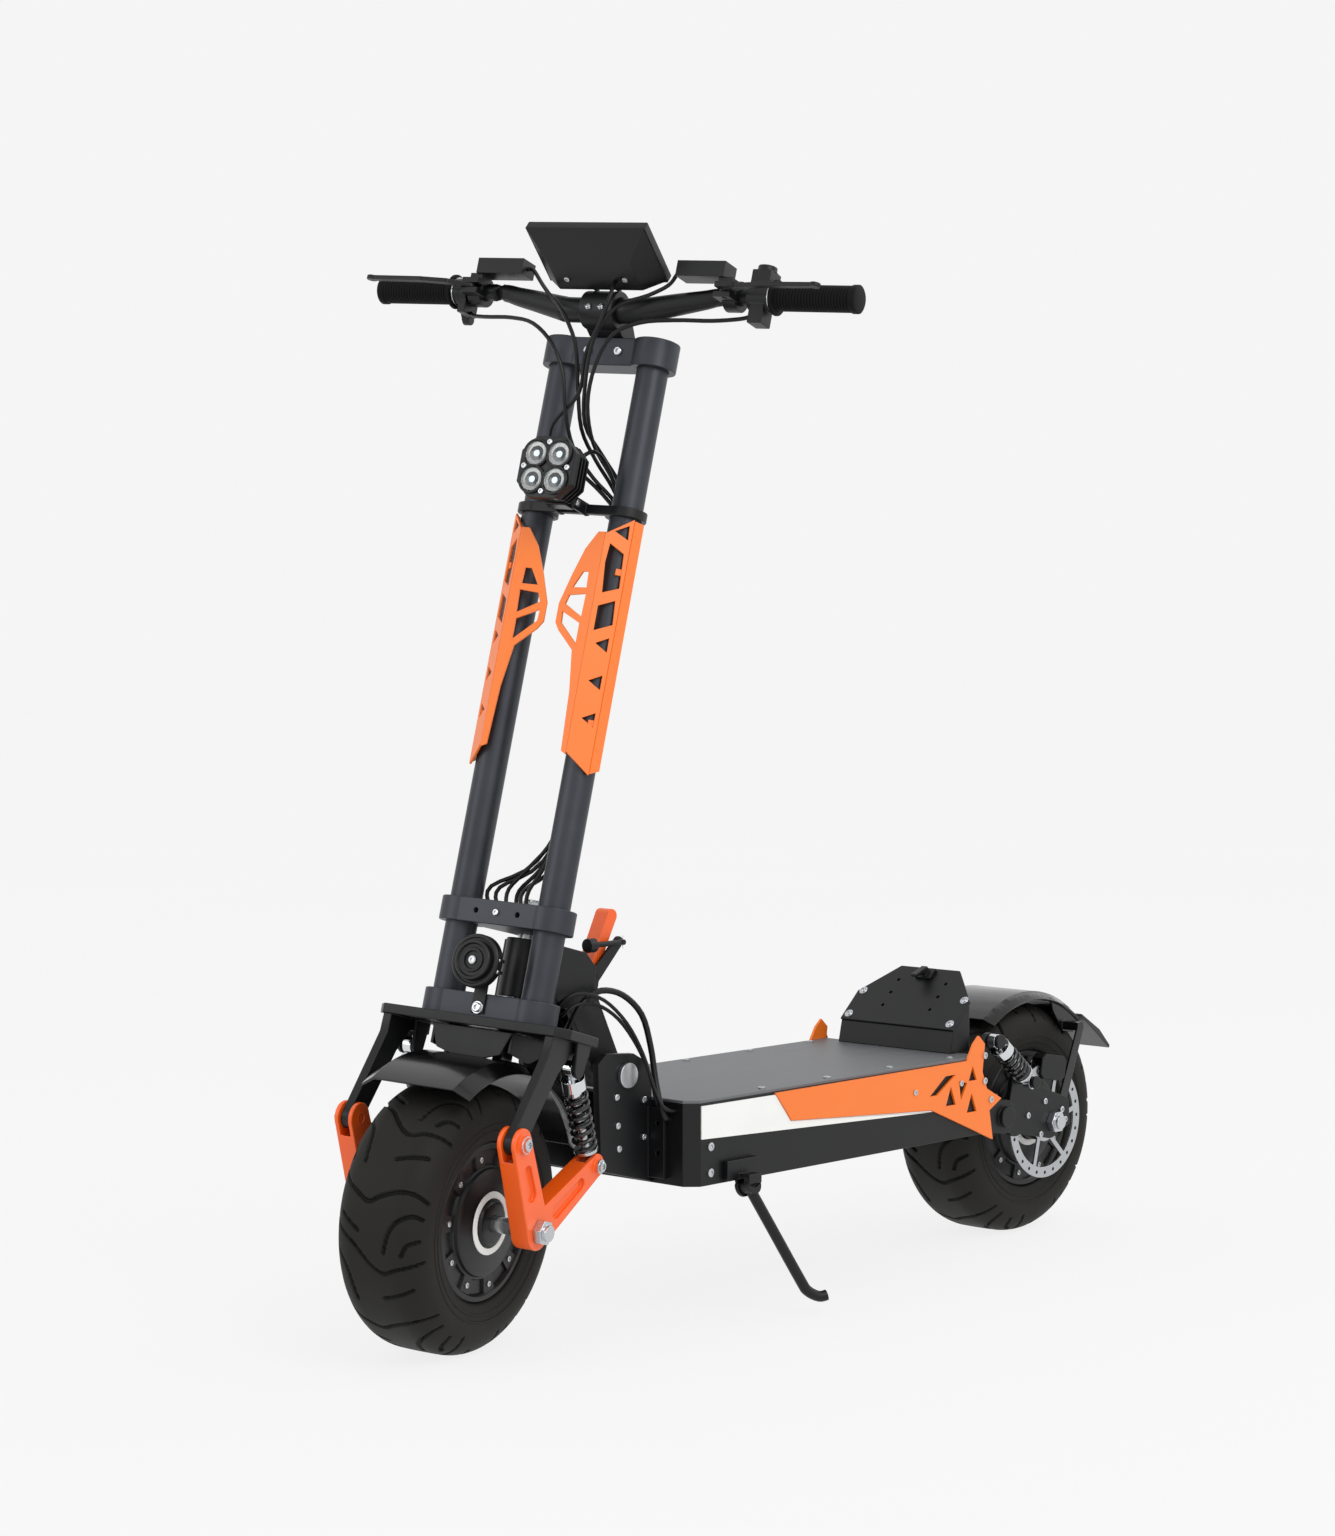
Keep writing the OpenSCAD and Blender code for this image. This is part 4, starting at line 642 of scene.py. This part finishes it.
class SCOOTER_OT_springs(bpy.types.Operator):
    """Winds the four suspension springs"""

    bl_idname = "scooter.springs"
    bl_label = "Springs"

    def execute(self, context):
        for name, place, body, top, low, y, turns in (
            ("front_springs", FORK, "front_shock_rod", (39.85, 351.9), (-42.15, 244.3), 117, 7),
            ("rear_springs", GROUND, "rear_shock_rod", (163, 297), (82, 232), 122, 5),
        ):
            lean = Matrix.Rotation(math.atan2(top[0] - low[0], top[1] - low[1]), 4, "Y")
            parts = []
            for side in BOTH:
                part = tube(coil(top, low, turns), 2.7, 10)
                bmesh.ops.transform(
                    part, matrix=Matrix.Translation((top[0], side * y, top[1])) @ lean,
                    verts=part.verts,
                )
                parts.append(part)
            piece = finished(
                joined(parts), name + "_wound", place, None, "lacquered_spring",
                (name,),
            )
            # The coils run between the body's collar and the rod's seat.
            seats = coil(top, low, turns)
            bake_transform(piece)
        return {"FINISHED"}


def outline(w, h, c):
    """A rectangle with cut and eased corners, as points in the YZ plane."""
    points = []
    for sy, sz in ((1, 1), (-1, 1), (-1, -1), (1, -1)):
        corner = [(sy * w / 2, sz * (h / 2 - c)), (sy * (w / 2 - c), sz * h / 2)]
        points += corner if sy * sz > 0 else corner[::-1]
    return points


def slab(bm, points, u0, u1, edge, matrix=Matrix.Identity(4)):
    """A plate from an outline in the YZ plane, between two places along U, with broken edges."""
    part = bmesh.new()
    face = part.faces.new([part.verts.new((u0, y, z)) for y, z in points])
    made = bmesh.ops.extrude_face_region(part, geom=[face])
    moved = [g for g in made["geom"] if isinstance(g, bmesh.types.BMVert)]
    bmesh.ops.translate(part, vec=(u1 - u0, 0, 0), verts=moved)
    bmesh.ops.recalc_face_normals(part, faces=part.faces)
    bmesh.ops.bevel(
        part, geom=part.edges, offset=edge, offset_type="OFFSET", segments=2, profile=0.5,
        affect="EDGES", clamp_overlap=True, material=-1,
    )
    stamp(bm, part, matrix)


LAMP = FORK @ Matrix.Translation((LAMP_FACE_U - 46, 0, LAMP_W))
QUARTER = Matrix.Rotation(math.radians(-90), 4, "Z")


class SCOOTER_OT_headlight(bpy.types.Operator):
    """Builds the headlight: finned body, four reflector cups with lenses, face bolts and foot"""

    bl_idname = "scooter.headlight"
    bl_label = "Headlight"

    def execute(self, context):
        bm = bmesh.new()
        for k in range(4):
            slab(bm, outline(70, 70, 16), 2 + 7 * k, 5 + 7 * k, 0.5)
        slab(bm, outline(58, 58, 14), 0, 32, 0.8)
        slab(bm, outline(78, 78, 19), 31, 42.5, 1.6)
        for y in (-16.4, 16.4):
            for z in (-16.4, 16.4):
                ring(
                    bm, [(15.2, 40), (18.4, 40), (18.4, 45), (17.6, 46), (16, 46), (15.2, 44.5)], 40,
                    Matrix.Translation((0, y, z)) @ QUARTER,
                )
        slab(bm, ((-15, -38), (15, -38), (15, -14), (-15, -14)), -16, 8, 1.6)
        finished(bm, "headlight_body", LAMP, "headlight", "cast_black", ("headlight",))

        bowls, lenses, chips = bmesh.new(), bmesh.new(), bmesh.new()
        for y in (-16.4, 16.4):
            for z in (-16.4, 16.4):
                at = Matrix.Translation((0, y, z)) @ QUARTER
                ring(
                    bowls,
                    [(15.3, 45), (14.2, 43.4), (13.4, 42.9), (9.6, 42.8), (9.2, 42.6), (15.3, 42.6)],
                    40, at,
                )
                ring(
                    lenses,
                    [(0, 45.9), (6, 45.5), (11, 44.6), (15, 43.9), (15, 44.8), (10.6, 45.7), (6, 46.6), (0, 47)],
                    40, at, False,
                )
                ring(chips, [(0, 44.2), (2.4, 43.9), (3.6, 43.2), (4.1, 42.7), (0, 42.7)], 24, at, False)
        finished(bowls, "headlight_reflectors", LAMP, "headlight", "reflector_bowl")
        finished(lenses, "headlight_lenses", LAMP, "headlight", "lens_glass")
        finished(chips, "headlight_emitters", LAMP, "headlight", "lit_chip")

        bm = bmesh.new()
        for y, z in ((0, 31), (0, -31), (31, 0), (-31, 0)):
            bolt(bm, (42.3, y, z), (1, 0, 0), 3.6, 2.6)
        for side in BOTH:
            bolt(bm, (-10, side * 20.4, -30), (0, side, 0), 4.4, 3)
        finished(bm, "headlight_bolts", LAMP, "headlight", "zinc_steel", recalc=False)
        return {"FINISHED"}


class SCOOTER_OT_horn(bpy.types.Operator):
    """Builds the horn: pressed disc with rings, hub nut, bracket and terminals"""

    bl_idname = "scooter.horn"
    bl_label = "Horn"

    def execute(self, context):
        place = FORK @ Matrix.Translation((HORN_FACE_U, 0, HORN_W)) @ QUARTER
        bm = bmesh.new()
        turned(bm, [
            (0, -30), (17, -30), (17, -22), (27, -21.5), (31.5, -19.5), (33, -18.5), (33, -16.5), (33, -8),
            (
                31.4, -6.4,
            ), (28.6, -6.2), (27.6, -7.4), (25.4, -7.4), (24.8, -1.2), (23.6, 0), (21, 0), (19.4, -2.4),
            (15.4, -2.6), (14.6, -0.8), (11.4, -0.6), (10.4, -3), (0, -3),
        ], 72)
        finished(bm, "horn_shell", place, "fork", "moulded_abs", ("horn",))
        bm = bmesh.new()
        bolt(bm, (0, -3, 0), (0, 1, 0), 5.2, 3)
        finished(bm, "horn_nut", place, "fork", "zinc_steel", recalc=False)
        bm = bmesh.new()
        slab(
            bm, ((-9, LOWER_YOKE_W + 4), (9, LOWER_YOKE_W + 4), (9, HORN_W + 10), (-9, HORN_W + 10)),
            TUBE_U + 27.1, TUBE_U + 30, 0.6,
        )
        ring(
            bm, [(0, -4), (5, -4), (5, 3), (0, 3)], 20,
            Matrix.Translation((TUBE_U + 31, 0, HORN_W)) @ QUARTER, False,
        )
        for z in (-10, 4):
            slab(
                bm, [(y + 31, HORN_W + z + w) for y, w in ((-3, -2), (3, -2), (3, 2), (-3, 2))],
                HORN_FACE_U - 21, HORN_FACE_U - 13, 0.4,
            )
        finished(bm, "horn_bracket", FORK, "fork", "powder_coat_black")
        bm = bmesh.new()
        for z in (-10, 4):
            bolt(bm, (HORN_FACE_U - 12.6, 31, HORN_W + z), (1, 0, 0), 2.6, 2.4)
        finished(bm, "horn_terminals", FORK, "fork", "zinc_steel", recalc=False)
        return {"FINISHED"}


class SCOOTER_OT_bar(bpy.types.Operator):
    """Sweeps the handlebar and turns its ribbed grips"""

    bl_idname = "scooter.bar"
    bl_label = "Handlebar and grips"

    def execute(self, context):
        half = [
            (GRIP.x, 343, GRIP.z, 11), (GRIP.x, 330, GRIP.z, 11), (GRIP.x, 172, GRIP.z, 11),
            (GRIP.x + 0.2, 160, GRIP.z - 0.4, 11), (GRIP.x + 1, 149, GRIP.z - 2, 11.3),
            (GRIP.x + 2.6, 136, GRIP.z - 5.6, 12), (BAR.x - 5, 104, BAR.z + 11.5, 13.6),
            (BAR.x - 2, 74, BAR.z + 4.6, 15), (BAR.x - 0.6, 60, BAR.z + 1.6, 15.7), (BAR.x, 46, BAR.z, 15.9),
        ]
        points = half + [(x, -y, z, r) for x, y, z, r in reversed(half)]
        path = eased([p[:3] for p in points], 3)
        thick = [q.x for q in eased([(p[3], 0, 0) for p in points], 3)]
        finished(
            tube(path, thick, 28), "handlebar_swept", FORK, "fork", "powder_coat_black",
            ("handlebar",),
        )

        profile = [(
            11.1, 235,
        ), (11.1, 231), (15, 231), (21, 231.4), (22, 232.6), (22, 235), (20.6, 236), (16.6, 237)]
        for k in range(24):
            y = 239 + 4.1 * k
            profile += [(16.4, y), (16.4, y + 2.3), (15.5, y + 2.8), (15.5, y + 3.6)]
        profile += [(16.6, 338), (17.6, 339.5), (17.6, 345.6), (15.4, 347), (0, 347)]
        parts = []
        for side in BOTH:
            part = bmesh.new()
            turned(part, [(r, side * y) for r, y in profile], 48)
            parts.append(part)
        place = FORK @ Matrix.Translation(GRIP)
        finished(joined(parts), "grips_ribbed", place, "fork", "epdm_grip", ("grips",))

        parts = []
        for y in (-229.6, 230):
            part = bmesh.new()
            turned(part, [(11.2, y - 1), (18.4, y - 1), (18.4, y + 1), (11.2, y + 1)], 48, closed=True)
            parts.append(part)
        finished(joined(parts), "grip_collars", place, "fork", "zinc_steel")
        return {"FINISHED"}


# Cable routes in the fork frame, from the bar down between the tubes: name, points.
BAR_ROUTES = (
    ("left_brake_hose", [
        (94, 101.4, 1338), (94, 96, 1335), (98, 89, 1319), (111, 70, 1301), (127, 38, 1280), (124, 12, 1240),
        (112, 4, 1190), (92, 2, 1140), (58, 14, 1110), (38, 34, 1080), (34, 46, 1050), (33, 49, 1000),
        (33, 49, 900), (33, 49, 720), (34, 44, 640), (34, 20, 590), (30, -8, 560), (30, -8, 539)]),
    ("right_brake_hose", [
        (94, -121.4, 1338), (94, -114, 1337), (101, -94, 1318), (118, -66, 1296), (128, -40, 1276),
        (121, -16, 1236), (106, -10, 1186), (86, -6, 1136), (60, 6, 1104), (40, 26, 1074), (32, 40, 1046),
        (29, 43, 1000), (29, 43, 900), (29, 43, 720), (32, 36, 640), (38, 6, 590), (38, -18, 560),
        (38, -18, 539)]),
    ("switch_wire", [
        (
            84, 204, 1286,
        ), (88, 192, 1281), (100, 160, 1274), (112, 116, 1270), (124, 74, 1262), (128, 40, 1244),
        (122, 20, 1206), (110, 12, 1160), (84, 14, 1118), (52, 26, 1088), (36, 44, 1056), (30, 55, 1010),
        (29, 55, 900), (29, 55, 700), (32, 40, 600), (38, 4, 560), (38, 4, 539)]),
    ("throttle_wire", [
        (78, -207, 1284), (86, -196, 1278), (102, -164, 1272), (114, -120, 1268), (124, -80, 1258),
        (126, -46, 1232), (120, -26, 1196), (108, -20, 1152), (84, -14, 1112), (54, 4, 1082), (34, 32, 1054),
        (24, 49, 1010), (24, 49, 900), (24, 49, 700), (32, 20, 600), (42, -29, 560), (42, -29, 539)]),
    ("display_wire", [
        (114, 24, 1322), (124, 27, 1311), (131, 28, 1290), (130, 22, 1262), (120, 2, 1222), (106, -6, 1176),
        (104, -36, 1136), (92, -40, 1112), (72, -18, 1092), (44, 16, 1064), (28, 38, 1036), (23, 42, 1000),
        (23, 42, 900), (23, 42, 700), (30, 10, 600), (46, -39, 560), (46, -39, 539)]),
    ("lamp_wire", [
        (120, 8, 1083), (108, 14, 1092), (90, 20, 1106), (66, 24, 1100), (44, 34, 1070), (36, 42, 1030),
        (35, 42, 990), (35, 42, 880), (35, 42, 700), (40, 30, 600), (46, 16, 560), (46, 16, 539)]),
)
# The deck's own cables, in the ground frame, from the neck's side to the deck's front wall: name, radius, points.
DECK_ROUTES = (
    ("power_cable", 4.0, [
        (929, 42, 378), (927, 50, 392), (912, 56, 414), (884, 58, 424), (850, 62, 416), (824, 70, 390),
        (
            816, 78, 350,
        ), (818, 88, 310), (823, 101, 280), (818, 104, 264), (812, 104, 261), (805.4, 104, 260)]),
    ("signal_cable", 2.4, [
        (938, 42, 396), (936, 49, 402), (922, 55, 410), (898, 64, 408), (868, 72, 388), (842, 80, 352),
        (830, 92, 312), (826, 96, 286), (818, 97, 274), (805.4, 97, 272)]),
    ("brake_hose", 2.4, [
        (944, 42, 410), (941, 51, 418), (924, 60, 424), (894, 72, 414), (866, 84, 384), (846, 93, 344),
        (836, 100, 306), (830, 110, 280), (818, 113, 272), (805.4, 113, 271)]),
)


def run_length(points):
    return sum((q - p).length for p, q in zip(points, points[1:]))


DISPLAY = FORK @ Matrix.Translation((132, 0, 1347.9)) @ Matrix.Rotation(math.radians(-28.3), 4, "Y")
LID = (
    GROUND
    @ Matrix.Translation((228, 0, 314))
    @ Matrix.Rotation(math.pi, 4, "Z")
    @ Matrix.Rotation(math.radians(-42.7), 4, "Y")
)
# Bolt heads by body: frame, then rows of (points, outward direction, radius, height, washer).
BOLTS = (
    ("fork", "fork_bolts", FORK, (
        ([(78, 22 * k, 1238.9) for k in BOTH], (1, 0, 0), 5.4, 4, 0),
        ([(85, 0, 523.9)], (1, 0, 0), 4, 3, 0),
        ([(88, 0, 405.9)], (1, 0, 0), 6, 4, 8),
        ([(116.5, 9 * k, 1284) for k in BOTH], (0.83, 0, 0.55), 4.2, 3, 0),
    )),
    ("fork", "display_bolts", DISPLAY, (
        ([(-22, 42 * k, -24) for k in BOTH], (0, 0, -1), 4, 2.4, 0),
    )),
    ("front_arm", "front_arm_bolts", FORK, tuple(
        ([(u, 135 * k, w)], (0, k, 0), radius, 4, washer)
        for k in BOTH for u, w, radius, washer in ((137.25, 249.6, 7.5, 11), (-42.15, 244.3, 6.5, 9))
    )),
    ("rear_arm", "rear_arm_bolts", GROUND, tuple(
        (
            [(x, 102 * k, z) for x, z in ((60, 180), (20, 196), (-20, 180), (-28, 165), (30, 150))],
            (0, k, 0), 4.4, 3, 0,
        )
        for k in BOTH
    )),
    ("deck", "lid_bolts", LID, (
        ([(x, 90 * k, 4) for x in (10, 54) for k in BOTH], (0, 0, 1), 4, 2.6, 6.5),
    )),
    ("deck", "deck_screws_turned", GROUND, (
        ([(x, 124.5 * k, DECK_TOP_Z) for x in (267, 397, 527, 657) for k in BOTH], (0, 0, 1), 5, 2.2, 0),
    ) + tuple(
        row
        for k in BOTH
        for row in (
            ([(265, 142.5 * k, 251), (365, 142.5 * k, 249)], (0, k, 0), 4, 2, 0),
            (
                [(x, 70 * k, z) for x, z in ((870, 290), (868, 254), (866, 225), (820, 282), (820, 235))],
                (0, k, 0), 4.2, 2.6, 0,
            ),
            ([(771, DECK_HALF * k, z) for z in (191, 224)], (0, k, 0), 5.5, 2.5, 0),
            ([(213, 142.5 * k, 249), (213, 142.5 * k, 284), (199, 142.5 * k, 222)], (0, k, 0), 4.6, 2.4, 0),
        )
    )),
    ("neck", "neck_bolts", HEAD, (
        ([(-8, 42 * k, w) for w in (440, 470, 492)], (0, k, 0), 3.2, 2, 0) for k in BOTH
    )),
)


class SCOOTER_OT_bolts(bpy.types.Operator):
    """Sets the socket-head bolts that show, body by body"""

    bl_idname = "scooter.bolts"
    bl_label = "Bolts"

    def execute(self, context):
        for body, name, place, rows in BOLTS:
            bm = bmesh.new()
            for points, out, radius, height, washer in rows:
                for at in points:
                    bolt(bm, at, out, radius, height, washer)
            stands_for = ("deck_screws",) if name == "deck_screws_turned" else ()
            finished(bm, name, place, body, "zinc_steel", stands_for, recalc=False)
        return {"FINISHED"}


STAND = (
    GROUND
    @ Matrix.Translation((713, 150.5, 169))
    @ Matrix.Rotation(math.radians(17), 4, "X")
    @ Matrix.Rotation(math.radians(24), 4, "Y")
)
STAND_L = 185.4


class SCOOTER_OT_kickstand(bpy.types.Operator):
    """Bends the kickstand's leg from rod, with its pivot eye and foot"""

    bl_idname = "scooter.kickstand"
    bl_label = "Kickstand"

    def execute(self, context):
        bends = [
            (0, 0, -4), (0, 0, -60), (0, 0, -STAND_L + 44), (-1, 1, -STAND_L + 26),
            (-8, 7, -STAND_L + 12), (-16, 13, -STAND_L + 8),
        ]
        leg = tube(eased(bends, 4), 7, 16)
        eye = bmesh.new()
        turned(eye, [(0, -8), (9, -8), (10, -7), (10, 7), (9, 8), (0, 8)], 28)
        finished(
            joined([leg, eye]), "kickstand_rod", STAND, "kickstand", "powder_coat_black",
            ("kickstand_leg",),
        )
        return {"FINISHED"}


class SCOOTER_OT_gusset(bpy.types.Operator):
    """Folds the guard plate that closes the gap between the crown and the front fender"""

    bl_idname = "scooter.gusset"
    bl_label = "Crown guard"

    def execute(self, context):
        bm = bmesh.new()
        face = ((-58, 381), (58, 381), (46, 352), (24, 346), (-24, 346), (-46, 352))
        slab(bm, face, 88, 92, 1.2)
        for side in BOTH:
            cheek = Matrix.Translation((0, side * 56, 0)) @ Matrix.Rotation(math.radians(-90 * side), 4, "Z")
            slab(
                bm,
                [(v, w) for v, w in ((12 * side, 381), (88 * side, 381), (88 * side, 356), (40 * side, 350), (12 * side, 362))],
                -2, 2, 0.8, cheek,
            )
        finished(bm, "crown_guard", FORK, "fork", "powder_coat_black")
        return {"FINISHED"}


class SCOOTER_OT_cables(bpy.types.Operator):
    """Lays the control cables from the bar and the cables into the deck, along their listed routes"""

    bl_idname = "scooter.cables"
    bl_label = "Cables"

    def execute(self, context):
        thick = context.scene.scooter_sizes.cable
        for name, route in BAR_ROUTES:
            path = eased(route, 4)
            stands_for = ("bar_cables",) if name == "left_brake_hose" else ()
            piece = finished(
                tube(path, thick * 500, 10), name, FORK, "fork", "cable_jacket",
                stands_for,
            )
            line = [FORK @ p for p in path]
            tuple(line[0])
            run_length(line)
        for name, radius, route in DECK_ROUTES:
            path = eased(route, 4)
            piece = finished(tube(path, radius, 12), name, GROUND, None, "cable_jacket")
            if name == "power_cable":
                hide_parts("deck_cables")
            line = [GROUND @ p for p in path]
            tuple(line[-1])
            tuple(line[0])
            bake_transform(piece)
            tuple(line[0])
            run_length(line)
        return {"FINISHED"}


class SCOOTER_OT_studio(bpy.types.Operator):
    """Sets the floor, the soft lights and the camera"""

    bl_idname = "scooter.studio"
    bl_label = "Studio"

    def execute(self, context):
        scene, studio = context.scene, context.scene.scooter_studio
        world = bpy.data.worlds.new("Pale room")
        world.use_nodes = True
        backdrop = world.node_tree.nodes["Background"]
        backdrop.inputs["Color"].default_value = linear("#F5F5F5")
        backdrop.inputs["Strength"].default_value = 1.0
        scene.world = world
        scene.view_settings.view_transform = "Standard"

        tree, shader, place = start("pale_floor", {
            "Roughness": 0.9, "Specular IOR Level": 0.0, "Emission Color": linear("#F5F5F5"), "Emission Strength": 0.9,
        })
        tone = add(tree, "ShaderNodeTexNoise", {"Scale": 0.7, "Detail": 2}, {"Vector": place})
        pale = add(
            tree, "ShaderNodeMix", {"data_type": "RGBA", 6: linear("#5A5A5A"), 7: linear("#565656")},
            {0: tone.outputs["Fac"]},
        )
        tree.links.new(pale.outputs[2], shader.inputs["Base Color"])
        bm = bmesh.new()
        bmesh.ops.create_grid(bm, x_segments=4, y_segments=4, size=40)
        mesh = bpy.data.meshes.new("floor")
        bm.to_mesh(mesh)
        bm.free()
        mesh.materials.append(bpy.data.materials["pale_floor"])
        floor = bpy.data.objects.new("floor", mesh)
        floor.location.z = -0.0005
        scene.collection.objects.link(floor)

        camera = bpy.data.cameras.new("camera")
        camera.lens, camera.sensor_width = studio.lens, 36
        camera.shift_x, camera.shift_y = 0.0064, 0.0275
        camera.clip_end = 100
        eye = bpy.data.objects.new("camera", camera)
        eye.location = (3.46302, 3.02456, 0.92731)
        eye.rotation_euler = Vector((-0.7327, -0.6775, -0.0644)).to_track_quat("-Z", "Y").to_euler()
        scene.collection.objects.link(eye)
        scene.camera = eye

        # A wide key from the upper right of the camera, a weaker fill and a strip behind for edges.
        for name, power, size, at in (
            ("key", studio.key_power, 2.6, (1.2, 3.6, 3.4)),
            ("fill", studio.fill_power, 2.2, (4.2, -1.6, 2.2)),
            ("edge", studio.fill_power * 0.8, 2.0, (-3.2, 1.4, 2.6)),
        ):
            light = bpy.data.lights.new(name, "AREA")
            light.energy, light.size = power, size
            holder = bpy.data.objects.new(name, light)
            holder.location = at
            holder.rotation_euler = (Vector((0, 0, 0.55)) - Vector(at)).to_track_quat("-Z", "Y").to_euler()
            scene.collection.objects.link(holder)
        return {"FINISHED"}


class SCOOTER_PT_panel(bpy.types.Panel):
    """Lists the settings and the pieces"""

    bl_label = "Scooter"
    bl_idname = "SCOOTER_PT_panel"
    bl_space_type = "VIEW_3D"
    bl_region_type = "UI"
    bl_category = "Scooter"

    def draw(self, context):
        for group in (context.scene.scooter_colours, context.scene.scooter_sizes, context.scene.scooter_studio):
            for key in group.__annotations__:
                self.layout.prop(group, key)
        for operator in OPERATORS:
            self.layout.operator(operator.bl_idname)


OPERATORS = (
    SCOOTER_OT_studio,
    SCOOTER_OT_frame,
    SCOOTER_OT_tyres,
    SCOOTER_OT_hubs,
    SCOOTER_OT_springs,
    SCOOTER_OT_headlight,
    SCOOTER_OT_horn,
    SCOOTER_OT_bar,
    SCOOTER_OT_bolts,
    SCOOTER_OT_kickstand,
    SCOOTER_OT_gusset,
    SCOOTER_OT_cables,
)
GROUPS = (
    ("scooter_colours", ScooterColours),
    ("scooter_sizes", ScooterSizes),
    ("scooter_studio", ScooterStudio),
)


def register():
    for key, group in GROUPS:
        bpy.utils.register_class(group)
        setattr(bpy.types.Scene, key, PointerProperty(type=group))
    for operator in OPERATORS:
        bpy.utils.register_class(operator)
    bpy.utils.register_class(SCOOTER_PT_panel)


def unregister():
    bpy.utils.unregister_class(SCOOTER_PT_panel)
    for operator in reversed(OPERATORS):
        bpy.utils.unregister_class(operator)
    for key, group in reversed(GROUPS):
        delattr(bpy.types.Scene, key)
        bpy.utils.unregister_class(group)


def main():
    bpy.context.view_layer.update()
    register()
    make_materials()
    for operator in OPERATORS:
        group, name = operator.bl_idname.split(".")
        getattr(getattr(bpy.ops, group), name)()


if __name__ == "__main__":
    main()
